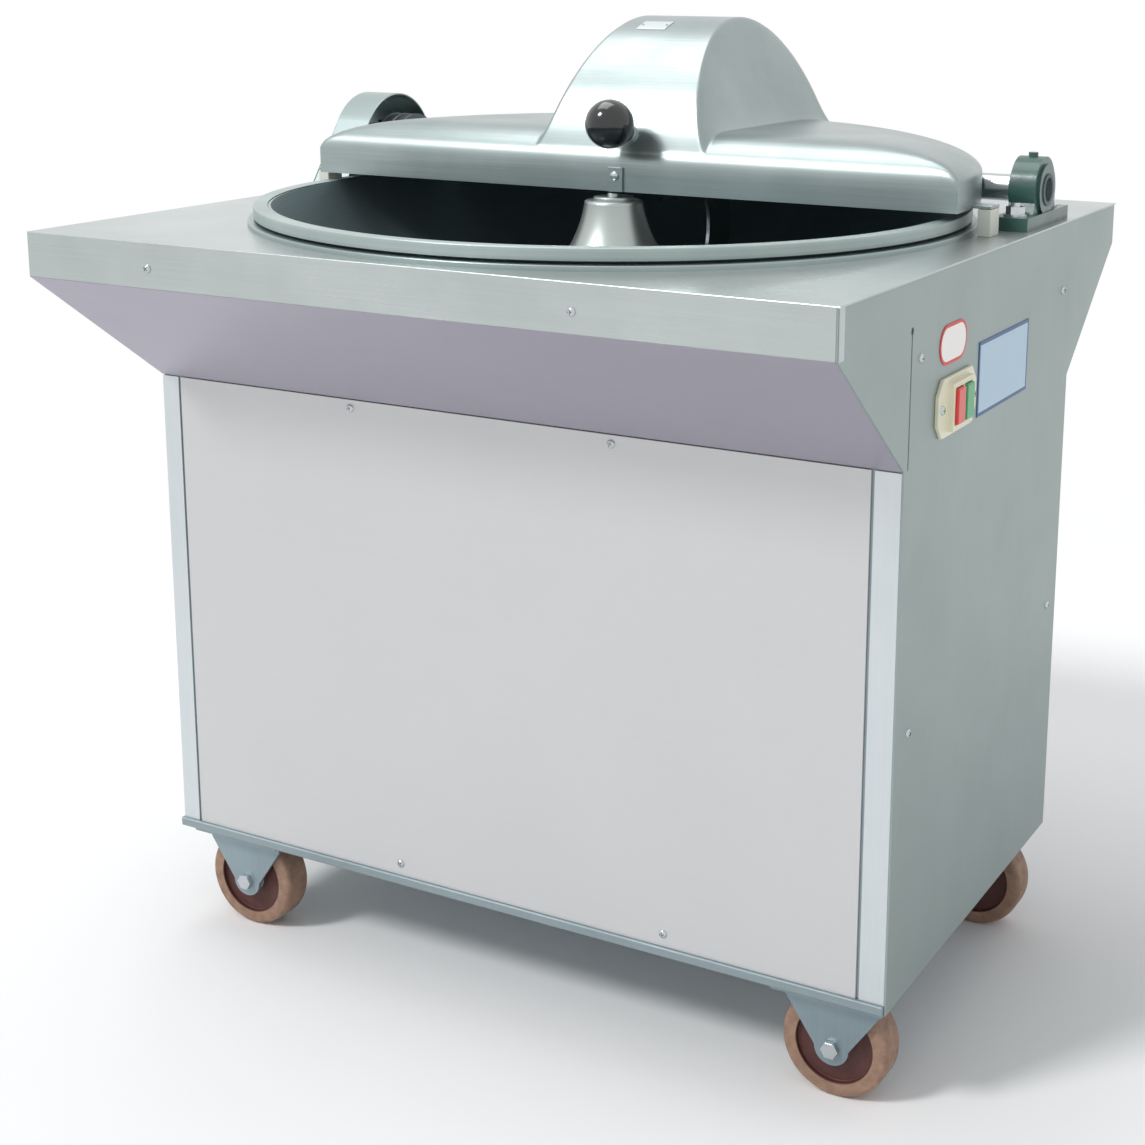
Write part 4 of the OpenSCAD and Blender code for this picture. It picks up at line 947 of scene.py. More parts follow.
@dataclass
class Repeat:
    """Geometry Nodes tree that sets one small shape on many points.

    Attributes:
        name: the tree's name.
        sizes: named inputs of the tree and their values in metres.
    """

    name: str
    sizes: dict[str, float] = field(default_factory=dict)

    def __post_init__(self) -> None:
        """Makes the empty tree with its named inputs."""
        self.tree = bpy.data.node_groups.new(self.name, "GeometryNodeTree")
        face = self.tree.interface
        face.new_socket(name="Points", in_out="INPUT", socket_type="NodeSocketGeometry")
        for title, value in self.sizes.items():
            socket = face.new_socket(name=title, in_out="INPUT", socket_type="NodeSocketFloat")
            socket.default_value = value
        face.new_socket(name="Finish", in_out="INPUT", socket_type="NodeSocketMaterial")
        face.new_socket(name="Pieces", in_out="OUTPUT", socket_type="NodeSocketGeometry")
        self.inputs = self.tree.nodes.new("NodeGroupInput")

    def size(self, title: str) -> bpy.types.NodeSocket:
        """Returns the socket of a named input."""
        return self.inputs.outputs[title]

    def node(self, kind: str, settings: dict[str, object], values: dict[int | str, object]) -> bpy.types.Node:
        """Adds one node.

        Args:
            kind: the node's type.
            settings: what is set on the node itself.
            values: numbers, sockets, or lists of sockets for its inputs.

        Returns:
            The node.
        """
        node = self.tree.nodes.new(kind)
        for key, value in settings.items():
            setattr(node, key, value)
        for key, value in values.items():
            many = value if isinstance(value, list) else [value]
            for one in many:
                if isinstance(one, bpy.types.NodeSocket):
                    self.tree.links.new(one, node.inputs[key])
                else:
                    node.inputs[key].default_value = one
        return node

    def scaled(self, size: bpy.types.NodeSocket, factor: float) -> bpy.types.NodeSocket:
        """Returns a size times a number."""
        return self.node("ShaderNodeMath", {"operation": "MULTIPLY"}, {0: size, 1: factor}).outputs[0]

    def summed(self, first: bpy.types.NodeSocket, second: bpy.types.NodeSocket) -> bpy.types.NodeSocket:
        """Returns the sum of two sizes."""
        return self.node("ShaderNodeMath", {"operation": "ADD"}, {0: first, 1: second}).outputs[0]

    def vector(self, x: object, y: object, z: object) -> bpy.types.NodeSocket:
        """Returns a vector of three sizes."""
        return self.node("ShaderNodeCombineXYZ", {}, {0: x, 1: y, 2: z}).outputs[0]

    def lifted(self, shape: bpy.types.NodeSocket, lift: object) -> bpy.types.NodeSocket:
        """Returns a shape moved up by lift."""
        values = {"Geometry": shape, "Translation": self.vector(0.0, 0.0, lift)}
        return self.node("GeometryNodeTransform", {}, values).outputs[0]

    def drum(self, sides: int, radius: object, depth: object, lift: object) -> bpy.types.NodeSocket:
        """Adds a closed drum up Z.

        Args:
            sides: number of its sides.
            radius: its radius.
            depth: its height.
            lift: height of its middle.

        Returns:
            The drum's mesh.
        """
        values = {"Vertices": sides, "Radius": radius, "Depth": depth}
        drum = self.node("GeometryNodeMeshCylinder", {"fill_type": "NGON"}, values)
        return self.lifted(drum.outputs["Mesh"], lift)

    def block(self, size: bpy.types.NodeSocket, lift: object) -> bpy.types.NodeSocket:
        """Returns a box about the Z axis, its middle at the given height."""
        box = self.node("GeometryNodeMeshCube", {}, {"Size": size})
        return self.lifted(box.outputs["Mesh"], lift)

    def close(self, shape: bpy.types.NodeSocket) -> None:
        """Sets the shape on every point, turned by the point's own attribute, and gives it its finish.

        Args:
            shape: the mesh to repeat.
        """
        kind = {"data_type": "FLOAT_VECTOR"}
        turn = self.node("GeometryNodeInputNamedAttribute", kind, {"Name": "turn"})
        spread = self.node(
            "GeometryNodeInstanceOnPoints",
            {},
            {"Points": self.inputs.outputs["Points"], "Instance": shape, "Rotation": turn.outputs[0]},
        )
        real = self.node("GeometryNodeRealizeInstances", {}, {"Geometry": spread.outputs[0]})
        painted = self.node(
            "GeometryNodeSetMaterial",
            {},
            {"Geometry": real.outputs[0], "Material": self.inputs.outputs["Finish"]},
        )
        self.node("NodeGroupOutput", {}, {0: painted.outputs[0]})

    def spread(
        self,
        name: str,
        places: list[tuple[Point, Point, float]],
        finish: object,
        body: str,
        slot: str,
        *nodes: str,
    ) -> bpy.types.Object:
        """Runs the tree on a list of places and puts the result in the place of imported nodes.

        Args:
            name: the object's name.
            places: place in millimetres, outward direction and twist in degrees of each one.
            finish: the finish.
            body: the body that carries them.
            slot: the record's material slot.
            nodes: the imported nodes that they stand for.

        Returns:
            The plain mesh object.
        """
        mesh = bpy.data.meshes.new(name)
        mesh.from_pydata([tuple(v * MM for v in place) for place, _, _ in places], [], [])
        turn = mesh.attributes.new("turn", "FLOAT_VECTOR", "POINT")
        for i, (_, aim, twist) in enumerate(places):
            spin = Euler((0.0, 0.0, math.radians(twist))).to_matrix()
            turn.data[i].vector = (Vector(aim).to_track_quat("Z", "Y").to_matrix() @ spin).to_euler()
        obj = bpy.data.objects.new(name, mesh)
        bpy.context.scene.collection.objects.link(obj)
        modifier = obj.modifiers.new("repeat", "NODES")
        modifier.node_group = self.tree
        items = self.tree.interface.items_tree
        names = {item.name: item.identifier for item in items if item.in_out == "INPUT"}
        for title, value in self.sizes.items():
            modifier[names[title]] = value
        modifier[names["Finish"]] = FINISHES.get(finish)
        plain = made_plain(obj)
        if "turn" in plain.attributes:
            plain.attributes.remove(plain.attributes["turn"])
        return stand_in(obj, body, slot, *nodes)


@dataclass
class CrossHeads:
    """Domed screw heads with a cross recess.

    Attributes:
        head_d: diameter of a head.
        head_h: height of a head.
        recess_l: length of the cross.
        recess_w: width of its arms.
        recess_h: depth of the cross.
    """

    head_d: float = 9.0
    head_h: float = 3.0
    recess_l: float = 5.4
    recess_w: float = 1.3
    recess_h: float = 1.6

    def build(self) -> Repeat:
        """Returns the tree that makes these heads."""
        repeat = Repeat(
            "cross_heads",
            {
                "Head Diameter": self.head_d * MM,
                "Head Height": self.head_h * MM,
                "Recess Length": self.recess_l * MM,
                "Recess Width": self.recess_w * MM,
                "Recess Depth": self.recess_h * MM,
            },
        )
        radius = repeat.scaled(repeat.size("Head Diameter"), 0.5)
        ball = repeat.node("GeometryNodeMeshUVSphere", {}, {"Segments": 24, "Rings": 12, "Radius": radius})
        shares = {0: repeat.size("Head Height"), 1: radius}
        flat = repeat.node("ShaderNodeMath", {"operation": "DIVIDE"}, shares).outputs[0]
        values = {"Geometry": ball.outputs["Mesh"], "Scale": repeat.vector(1.0, 1.0, flat)}
        dome = repeat.node("GeometryNodeTransform", {}, values).outputs[0]
        wide = repeat.scaled(repeat.size("Head Diameter"), 2.0)
        below = repeat.block(repeat.vector(wide, wide, wide), repeat.scaled(wide, -0.5))
        deep = repeat.scaled(repeat.size("Recess Depth"), 2.0)
        long, thin = repeat.size("Recess Length"), repeat.size("Recess Width")
        arms = [
            repeat.block(repeat.vector(long, thin, deep), repeat.size("Head Height")),
            repeat.block(repeat.vector(thin, long, deep), repeat.size("Head Height")),
        ]
        values = {"Mesh 1": dome, "Mesh 2": [below, *arms]}
        cut = repeat.node("GeometryNodeMeshBoolean", {"operation": "DIFFERENCE"}, values)
        repeat.close(cut.outputs["Mesh"])
        return repeat


@dataclass
class HexBolts:
    """Hexagon bolts, each with a washer and the end of its thread.

    Attributes:
        flats: width across the flats.
        head_h: height of a head.
        washer_d: diameter of a washer.
        washer_t: thickness of a washer.
        thread_d: diameter of the thread.
        thread_h: how far the thread stands out of the head.
    """

    flats: float = 17.0
    head_h: float = 8.0
    washer_d: float = 24.0
    washer_t: float = 2.0
    thread_d: float = 10.0
    thread_h: float = 4.0

    def build(self) -> Repeat:
        """Returns the tree that makes these bolts."""
        repeat = Repeat(
            "hex_bolts",
            {
                "Across Flats": self.flats * MM,
                "Head Height": self.head_h * MM,
                "Washer Diameter": self.washer_d * MM,
                "Washer Thickness": self.washer_t * MM,
                "Thread Diameter": self.thread_d * MM,
                "Thread Height": self.thread_h * MM,
            },
        )
        washer_t, head_h = repeat.size("Washer Thickness"), repeat.size("Head Height")
        thread_h = repeat.size("Thread Height")
        washer_r = repeat.scaled(repeat.size("Washer Diameter"), 0.5)
        washer = repeat.drum(32, washer_r, washer_t, repeat.scaled(washer_t, 0.5))
        head = repeat.drum(
            6,
            repeat.scaled(repeat.size("Across Flats"), 1 / math.sqrt(3)),
            head_h,
            repeat.summed(washer_t, repeat.scaled(head_h, 0.5)),
        )
        thread_low = repeat.summed(washer_t, head_h)
        thread = repeat.drum(
            20,
            repeat.scaled(repeat.size("Thread Diameter"), 0.5),
            thread_h,
            repeat.summed(thread_low, repeat.scaled(thread_h, 0.5)),
        )
        joined = repeat.node("GeometryNodeJoinGeometry", {}, {"Geometry": [washer, head, thread]})
        repeat.close(joined.outputs[0])
        return repeat


@dataclass
class Fasteners:
    """Screws and bolts on the cabinet, the table and the bearings.

    Attributes:
        rim_y: outer face of the rim.
        rim_z: height of the rim's screws.
        front_y: face of the front panel.
        high_z: height of the upper panel screws.
        low_z: height of the lower panel screws.
        front_screws: place in X, height and twist of the front panel's screws.
        rim_screws: place in X, side in Y and twist of the rim's screws.
        side_in: distance of the side panel's screws from its edges.
        side_z: heights of the side panel's screws.
        switch_y: middle of the switch plate.
        switch_z: its height.
        switch_half: half the distance of its screws.
        switch_t: thickness of the switch plate.
        cab_left: the cabinet's left face.
        rear_in: distance of the rear panel's screws from its edges.
        panel_t: thickness of the side panel.
        blocks: foot of each bearing block.
        block_half: half the distance of a block's bolts.
    """

    rim_y: float = 402.5
    rim_z: float = 794.0
    front_y: float = 245.0
    high_z: float = 637.0
    low_z: float = 140.0
    front_screws: tuple[Point, ...] = (
        (-165.0, 637.0, 20.0),
        (145.0, 637.0, 65.0),
        (-115.0, 140.0, 38.0),
        (205.0, 140.0, 10.0),
    )
    rim_screws: tuple[Point, ...] = (
        (-286.0, -1.0, 50.0),
        (195.0, -1.0, 5.0),
        (286.0, 1.0, 30.0),
        (-195.0, 1.0, 75.0),
    )
    side_in: float = 32.0
    side_z: tuple[float, ...] = (745.0, 390.0)
    switch_y: float = -122.0
    switch_z: float = 688.0
    switch_half: float = 42.0
    switch_t: float = 4.0
    cab_left: float = -419.0
    rear_in: float = 30.0
    panel_t: float = 2.0
    blocks: tuple[Point, ...] = (
        (-421.0, LAYOUT.shaft_y, 834.0),
        (417.0, LAYOUT.shaft_y, 834.0),
        (-311.0, 77.0, 567.0),
    )
    block_half: float = 52.5

    def _panel_places(self) -> list[tuple[Point, Point, float]]:
        """Returns the places of the panel screws."""
        front, rear, right = (0.0, -1.0, 0.0), (0.0, 1.0, 0.0), (1.0, 0.0, 0.0)
        side = LAYOUT.side_face
        places = [((x, -self.front_y, z), front, twist) for x, z, twist in self.front_screws]
        for x, way, twist in self.rim_screws:
            places.append(((x, way * self.rim_y, self.rim_z), (0.0, way, 0.0), twist))
        side_y = self.front_y - self.side_in
        for i, y in enumerate((-side_y, side_y)):
            for j, z in enumerate(self.side_z):
                places.append(((side, y, z), right, 25.0 * (2 * i + j)))
        for s in (-1, 1):
            place = (side + self.switch_t, s * self.switch_half + self.switch_y, self.switch_z)
            places.append((place, right, 30.0 + 40.0 * s))
        for i, x in enumerate((self.cab_left + self.rear_in, side - self.panel_t - self.rear_in)):
            for j, z in enumerate((self.low_z, self.high_z)):
                places.append(((x, self.front_y, z), rear, 33.0 * (2 * i + j)))
        return [(LAYOUT.point(*p), aim, twist) for p, aim, twist in places]

    def _bolt_places(self) -> list[tuple[Point, Point, float]]:
        """Returns the places of the bearing blocks' bolts."""
        up = (0.0, 0.0, 1.0)
        places = []
        for i, (x, y, z) in enumerate(self.blocks):
            for s in (-1, 1):
                place = LAYOUT.point(x, y + s * self.block_half, z)
                places.append((place, up, 12.0 + 17.0 * i + 9.0 * s))
        return places

    def build(self) -> None:
        """Builds and places every set."""
        heads, bolts = CrossHeads().build(), HexBolts().build()
        sets = (
            (heads, "panel_screw_heads", self._panel_places(), "panel_screws"),
            (bolts, "bearing_hex_bolts", self._bolt_places(), "bearing_bolts"),
        )
        for repeat, name, places, node in sets:
            repeat.spread(name, places, BRIGHT_STEEL, "cabinet", "fasteners", node)


# ---------- bowl ----------


@dataclass
class Bowl:
    """Turning bowl with its hub, and the ring on the table.

    Attributes:
        mouth_r: inner radius of the lip.
        lip_r: outer radius of the lip.
        lip_h: height of the lip above the table.
        lip_t: thickness of the lip.
        lip_edge_h: height of the lip's turned-down edge.
        lip_edge_t: thickness of that edge.
        wall: thickness of the sheet.
        trough_x: radius of the trough's lowest line.
        trough_r: radius of the trough's inner half.
        trough_z: height of the knife shaft above the table.
        hub_joint: depth at which the hub meets the bowl.
        hub_top: height of the hub's top above the table.
        hub_bore: radius of the hole in the hub's top.
        web_t: thickness of the bowl's floor and of the hub's top.
        pilot_r: radius of the hole in the bowl's floor.
        cap_r: radius of the hub's cap.
        cap_t: height of the cap.
        stub_r: radius of the stub on the cap.
        stub_h: height of the stub.
        ring_r: outer radius of the ring on the table.
        ring_h: height of the ring.
        collar_r: outer radius of the ring's collar.
        collar_t: thickness of the collar.
        collar_h: height of the collar.
        crisp: rounding of a crisp edge.
        soft: rounding of a soft edge.
        lip_round: rounding of the lip's inner edge.
        foot_round: hollow rounding at the foot of the collar.
        steps: pieces in each arc of the section.
        segments: steps round the axis.
    """

    mouth_r: float = 364.0
    lip_r: float = 382.0
    lip_h: float = 20.0
    lip_t: float = 6.0
    lip_edge_h: float = 12.0
    lip_edge_t: float = 4.0
    wall: float = 6.0
    trough_x: float = 170.0
    trough_r: float = 140.0
    trough_z: float = 37.0
    hub_joint: float = 47.0
    hub_top: float = 18.0
    hub_bore: float = 11.0
    web_t: float = 8.0
    pilot_r: float = 22.0
    cap_r: float = 22.0
    cap_t: float = 4.0
    stub_r: float = 7.0
    stub_h: float = 4.0
    ring_r: float = 388.0
    ring_h: float = 5.0
    collar_r: float = 371.0
    collar_t: float = 3.0
    collar_h: float = 10.0
    crisp: float = 0.8
    soft: float = 1.6
    lip_round: float = 1.2
    foot_round: float = 2.2
    steps: int = 36
    segments: int = 192

    def _axis(self) -> Matrix:
        """Returns the bowl's axis at table height."""
        return axis_at(LAYOUT.point(LAYOUT.bowl_x, LAYOUT.bowl_y, LAYOUT.table_h))

    def _flare(self) -> tuple[float, float]:
        """Returns the radius and the centre height of the trough's outer half."""
        wide = self.mouth_r - self.trough_x
        tall = self.lip_h - (self.trough_z - self.trough_r)
        radius = (wide * wide + tall * tall) / (2 * tall)
        return radius, self.trough_z - self.trough_r + radius

    def _inner_half(self, grow: float, low: float, high: float) -> Profile:
        """Returns the hub-side arc between two heights, from the lower end up.

        Args:
            grow: how much larger its radius is than the inner face, in millimetres.
            low: height of its lower end above the table.
            high: height of its upper end above the table.

        Returns:
            The arc's points.
        """
        radius = self.trough_r + grow
        start = math.pi / 2
        if low > self.trough_z - radius:
            start = math.asin((self.trough_z - low) / radius)
        end = math.asin((self.trough_z - high) / radius)
        arc = [start + (end - start) * k / self.steps for k in range(self.steps + 1)]
        return [(self.trough_x - radius * math.cos(a), self.trough_z - radius * math.sin(a)) for a in arc]

    def _outer_half(self, grow: float, top: float) -> Profile:
        """Returns the flare from the trough's lowest line up to a height.

        Args:
            grow: how much larger its radius is than the inner face, in millimetres.
            top: height of its upper end above the table.

        Returns:
            The flare's points.
        """
        radius, centre = self._flare()
        radius += grow
        end = math.acos((centre - top) / radius)
        arc = [end * k / self.steps for k in range(self.steps + 1)]
        return [(self.trough_x + radius * math.sin(a), centre - radius * math.cos(a)) for a in arc]

    def _bowl_profile(self) -> Profile:
        """Returns the bowl's closed section."""
        floor = self.trough_z - self.trough_r
        inside_hub = list(reversed(self._inner_half(0.0, floor, -self.hub_joint)))
        inside = inside_hub + self._outer_half(0.0, self.lip_h - self.crisp)[1:]
        inside = [p for p in inside if p[0] < self.mouth_r - 0.3]
        under_lip = self.lip_h - self.lip_t
        edge_low = self.lip_h - self.lip_edge_h
        edge_r = self.lip_r - self.lip_edge_t
        lip = rounded_profile(
            [
                (self.mouth_r, self.lip_h, self.lip_round),
                (self.lip_r, self.lip_h, self.soft),
                (self.lip_r, edge_low, self.crisp),
                (edge_r, edge_low, self.crisp),
                (edge_r, under_lip, 0.0),
            ]
        )
        outside = list(reversed(self._outer_half(self.wall, under_lip)))
        web_low = -self.hub_joint - self.web_t
        under = self._inner_half(self.wall, floor - self.wall, web_low)
        joint = self.trough_x - math.sqrt(self.trough_r**2 - (self.trough_z + self.hub_joint) ** 2)
        web = [(self.pilot_r, web_low), (self.pilot_r, -self.hub_joint), (joint, -self.hub_joint)]
        return inside[1:] + lip + outside + under[1:] + web

    def _hub_profile(self) -> Profile:
        """Returns the hub cone's closed section, with a soft top edge."""
        skin = self._inner_half(0.0, -self.hub_joint, self.hub_top - self.lip_round)
        back = self._inner_half(self.wall, -self.hub_joint, self.hub_top - self.web_t)
        top_r = skin[-1][0]
        crown = [(top_r - self.lip_round, self.hub_top - 0.3), (top_r - 2 * self.lip_round, self.hub_top)]
        bore = [(self.hub_bore, self.hub_top), (self.hub_bore, self.hub_top - self.web_t)]
        return skin + crown + bore + list(reversed(back))

    def _cap_profile(self) -> Profile:
        """Returns the cap's closed section."""
        cap_z = self.hub_top + self.cap_t
        return rounded_profile(
            [
                (0.0, self.hub_top, 0.0),
                (self.cap_r, self.hub_top, 0.5),
                (self.cap_r, cap_z, self.soft),
                (self.stub_r, cap_z, self.crisp),
                (self.stub_r, cap_z + self.stub_h, self.soft),
                (0.0, cap_z + self.stub_h, 0.0),
            ]
        )

    def _ring_profile(self) -> Profile:
        """Returns the ring's closed section."""
        inner = self.collar_r - self.collar_t
        return rounded_profile(
            [
                (inner, 0.0, 0.0),
                (self.ring_r, 0.0, 0.0),
                (self.ring_r, self.ring_h, self.soft),
                (self.collar_r, self.ring_h, self.foot_round),
                (self.collar_r, self.collar_h, self.crisp),
                (inner, self.collar_h, self.crisp),
            ]
        )

    def build(self) -> None:
        """Builds the bowl, the hub, its cap and the ring."""
        axis, turned = self._axis(), self.segments
        bowl, hub = self._bowl_profile(), self._hub_profile()
        cap, ring = self._cap_profile(), self._ring_profile()
        for node, profile, steps, finish, sharp, body, slot in (
            ("bowl", bowl, turned, BOWL_METAL_PAINTED_SHADE, 40.0, "bowl_set", "bowl_metal"),
            ("hub_cone", hub, turned // 2, HUB_METAL, 50.0, "bowl_set", "hub_metal"),
            ("hub_cap", cap, 72, HUB_METAL, 50.0, "bowl_set", "hub_metal"),
            ("bowl_ring", ring, turned, RING_METAL, 40.0, "cabinet", "stainless"),
        ):
            name = {"hub_cone": "hub"}.get(node, node) + "_turned"
            stand_in(show_mesh(name, lathe(name, profile, axis, steps), finish, sharp), body, slot, node)


# ---------- cover ----------


@dataclass
class Cover:
    """Half-moon cover over the rear of the bowl, with a dome over the knives.

    Attributes:
        edge_r: radius of the half-moon about the bowl's axis.
        front_y: the cover's straight front.
        low_z: bottom of the upright edge.
        side_z: top of the upright edge.
        top_z: height of the flat top.
        round_w: width of the rounding along the half-moon.
        front_round_w: width of the rounding along the front.
        wall: thickness of the sheet.
        dome_x: middle of the dome.
        dome_r: radius of the dome about the knife shaft.
        dome_half: half the dome's width at the shaft.
        dome_lean: how far a dome side leans in for each unit of height.
        crown_soft: height of the rounding between the dome's crown and sides.
        fillet: height of the hollow rounding between dome and hood.
        slot_half: half the width of the shaft's openings.
        slot_drop: how far the openings run below the shaft.
        slot_reach: half the length of the shape that cuts them.
        edge_soft: width of the blend between the hood's two roundings.
        foot_w: width of the close rows on each side of a dome foot.
        least_step: least distance of two rows.
        knob_x: the knob's place in X.
        knob_rise: the tilt of its stem in degrees.
        knob_out: distance of its middle from the dome.
        knob_r: radius of the ball.
        knob_seat: radius of the ball's flat seat.
        rows_front: rows in the front rounding.
        rows_dome: rows over the dome.
        rows_rear: rows behind the dome.
        side_columns: columns on each side of the dome.
        foot_columns: columns over each foot of the dome.
        crown_columns: columns over the dome's crown.
        sharp: angle in degrees past which an edge stays sharp.
    """

    edge_r: float = 390.0
    front_y: float = -4.0
    low_z: float = 848.0
    side_z: float = 876.0
    top_z: float = 913.0
    round_w: float = 150.0
    front_round_w: float = 60.0
    wall: float = 3.0
    dome_x: float = 14.0
    dome_r: float = 172.0
    dome_half: float = 110.0
    dome_lean: float = 0.28
    crown_soft: float = 16.0
    fillet: float = 26.0
    slot_half: float = 20.0
    slot_drop: float = 60.0
    slot_reach: float = 600.0
    edge_soft: float = 6.0
    foot_w: float = 14.0
    least_step: float = 0.12
    knob_x: float = 22.0
    knob_rise: float = 17.7
    knob_out: float = 42.0
    knob_r: float = 26.0
    knob_seat: float = 8.0
    rows_front: int = 10
    rows_dome: int = 84
    rows_rear: int = 18
    side_columns: int = 34
    foot_columns: int = 30
    crown_columns: int = 16
    sharp: float = 38.0

    @staticmethod
    def _soft_low(a: float, b: float, soft: float) -> float:
        """Returns the lower of two heights, rounded where they meet."""
        gap = max(soft - abs(a - b), 0.0) / soft
        return min(a, b) - gap * gap * soft / 4

    @staticmethod
    def _soft_high(a: float, b: float, soft: float) -> float:
        """Returns the higher of two heights, filled where they meet."""
        gap = max(soft - abs(a - b), 0.0) / soft
        return max(a, b) + gap * gap * soft / 4

    def _hood(self, x: float, y: float) -> float:
        """Returns the height of the half-moon hood.

        Args:
            x: place in X from the table's centre, in millimetres.
            y: place in Y, in millimetres.

        Returns:
            The height in millimetres.
        """
        rise = self.top_z - self.side_z
        reach = math.hypot(x - LAYOUT.bowl_x, y - LAYOUT.bowl_y) - (self.edge_r - self.round_w)
        along = min(max(reach / self.round_w, 0.0), 1.0)
        depth = min(max((self.front_y + self.front_round_w - y) / self.front_round_w, 0.0), 1.0)
        edge = self.side_z + rise * math.sqrt(1 - along * along)
        front = self.side_z + rise * math.sqrt(1 - depth * depth)
        if min(edge, front) > self.side_z + 2:
            return self._soft_low(edge, front, self.edge_soft)
        return min(edge, front)

    def _dome(self, x: float, y: float) -> float:
        """Returns the height of the dome, low outside it.

        Args:
            x: place in X from the table's centre, in millimetres.
            y: place in Y, in millimetres.

        Returns:
            The height in millimetres.
        """
        reach = abs(y - LAYOUT.shaft_y)
        crown = LAYOUT.shaft_z + math.sqrt(max(self.dome_r**2 - reach * reach, 0.0))
        side = LAYOUT.shaft_z + (self.dome_half - abs(x - self.dome_x)) / self.dome_lean
        if reach >= self.dome_r:
            return self.low_z
        return max(self._soft_low(crown, side, self.crown_soft), self.low_z)

    def _height(self, x: float, y: float) -> float:
        """Returns the height of the cover's outer skin.

        Args:
            x: place in X from the table's centre, in millimetres.
            y: place in Y, in millimetres.

        Returns:
            The height in millimetres.
        """
        hood, dome = self._hood(x, y), self._dome(x, y)
        room = min(hood - self.side_z, self.fillet)
        return self._soft_high(hood, dome, max(room, 1.0))

    def _rows(self) -> list[float]:
        """Returns the rows' places in Y, closest where the skin is steep."""
        first = [
            self.front_y + self.front_round_w * (1 - math.cos(0.5 * math.pi * k / self.rows_front))
            for k in range(self.rows_front)
        ]
        turns = [math.pi * k / self.rows_dome for k in range(self.rows_dome + 1)]
        dome = [LAYOUT.shaft_y - self.dome_r * math.cos(turn) for turn in turns]
        rear_end = LAYOUT.bowl_y + self.edge_r - self.least_step
        rear = [
            dome[-1] + (rear_end - dome[-1]) * math.sin(0.5 * math.pi * k / self.rows_rear)
            for k in range(1, self.rows_rear + 1)
        ]
        rows: list[float] = []
        for y in sorted(first + dome + rear):
            if not rows or y - rows[-1] > self.least_step:
                rows.append(y)
        return rows

    def _columns(self, y: float) -> list[float]:
        """Returns the columns' places in X for one row.

        Args:
            y: the row's place in Y, in millimetres.

        Returns:
            The places from the table's centre, in millimetres.
        """
        half = math.sqrt(max(self.edge_r**2 - (y - LAYOUT.bowl_y) ** 2, 0.01))
        dome_end = LAYOUT.shaft_y + self.dome_r
        widest = math.sqrt(self.edge_r**2 - (dome_end - LAYOUT.bowl_y) ** 2)
        squeeze = half / widest if y > dome_end else 1.0
        reach = abs(y - LAYOUT.shaft_y)
        crown = math.sqrt(max(self.dome_r**2 - reach * reach, 0.0))
        inner = max(self.dome_half - self.dome_lean * crown, 0.0) - self.foot_w
        outer = self.dome_half + self.foot_w
        xs: list[float] = []
        for side in (-1, 1):
            middle = self.dome_x - LAYOUT.bowl_x
            foot_in, foot_out = (middle + side * inner) * squeeze, (middle + side * outer) * squeeze
            end = side * half
            turns = [0.5 * math.pi * k / self.side_columns for k in range(1, self.side_columns + 1)]
            run = [foot_out + (end - foot_out) * math.sin(turn) for turn in turns]
            count = self.foot_columns
            foot = [foot_in + (foot_out - foot_in) * k / count for k in range(count + 1)]
            line = foot + run
            xs = list(reversed(line)) if side < 0 else xs + self._crown(xs[-1], line[0]) + line
        return [x + LAYOUT.bowl_x for x in xs]

    def _crown(self, low: float, high: float) -> list[float]:
        """Returns the places between the dome's two inner feet."""
        return [low + (high - low) * k / self.crown_columns for k in range(1, self.crown_columns)]

    def _skin(self) -> bpy.types.Mesh:
        """Returns the open outer skin, facing outwards."""
        shape = bmesh.new()
        grid = []
        for y in self._rows():
            line = []
            for x in self._columns(y):
                line.append(shape.verts.new(Vector(LAYOUT.point(x, y, self._height(x, y))) * MM))
            grid.append(line)
        for low, high in zip(grid, grid[1:]):
            for i in range(len(low) - 1):
                shape.faces.new((low[i], low[i + 1], high[i + 1], high[i]))
        border = grid[0] + [line[-1] for line in grid[1:]] + list(reversed(grid[-1][:-1]))
        border += [line[0] for line in reversed(grid[1:-1])]
        drops = []
        for v in border:
            levels = [v]
            for k in range(1, 4):
                z = v.co.z + (self.low_z * MM - v.co.z) * k / 3
                levels.append(shape.verts.new((v.co.x, v.co.y, z)))
            drops.append(levels)
        for here, there in zip(drops, drops[1:] + drops[:1]):
            for k in range(3):
                shape.faces.new((here[k], here[k + 1], there[k + 1], there[k]))
        bmesh.ops.remove_doubles(shape, verts=shape.verts, dist=2e-6)
        mesh = bpy.data.meshes.new("cover_skin")
        shape.to_mesh(mesh)
        shape.free()
        return mesh

    def _cutter(self) -> bpy.types.Object:
        """Returns the shape of the shaft's openings."""
        steps = 24
        turns = [math.pi * k / steps for k in range(steps + 1)]
        profile: Profile = [(-self.slot_half, -self.slot_drop), (self.slot_half, -self.slot_drop)]
        profile += [(self.slot_half * math.cos(turn), self.slot_half * math.sin(turn)) for turn in turns]
        shape = bmesh.new()
        ends = []
        for x in (-self.slot_reach, self.slot_reach):
            ends.append(
                [
                    shape.verts.new(Vector(LAYOUT.point(x, LAYOUT.shaft_y + a, LAYOUT.shaft_z + b)) * MM)
                    for a, b in profile
                ]
            )
        count = len(profile)
        for i in range(count):
            j = (i + 1) % count
            shape.faces.new((ends[0][i], ends[0][j], ends[1][j], ends[1][i]))
        shape.faces.new(list(reversed(ends[0])))
        shape.faces.new(ends[1])
        bmesh.ops.recalc_face_normals(shape, faces=shape.faces)
        mesh = bpy.data.meshes.new("shaft_openings")
        shape.to_mesh(mesh)
        shape.free()
        cutter = bpy.data.objects.new("shaft_openings", mesh)
        bpy.context.scene.collection.objects.link(cutter)
        return cutter

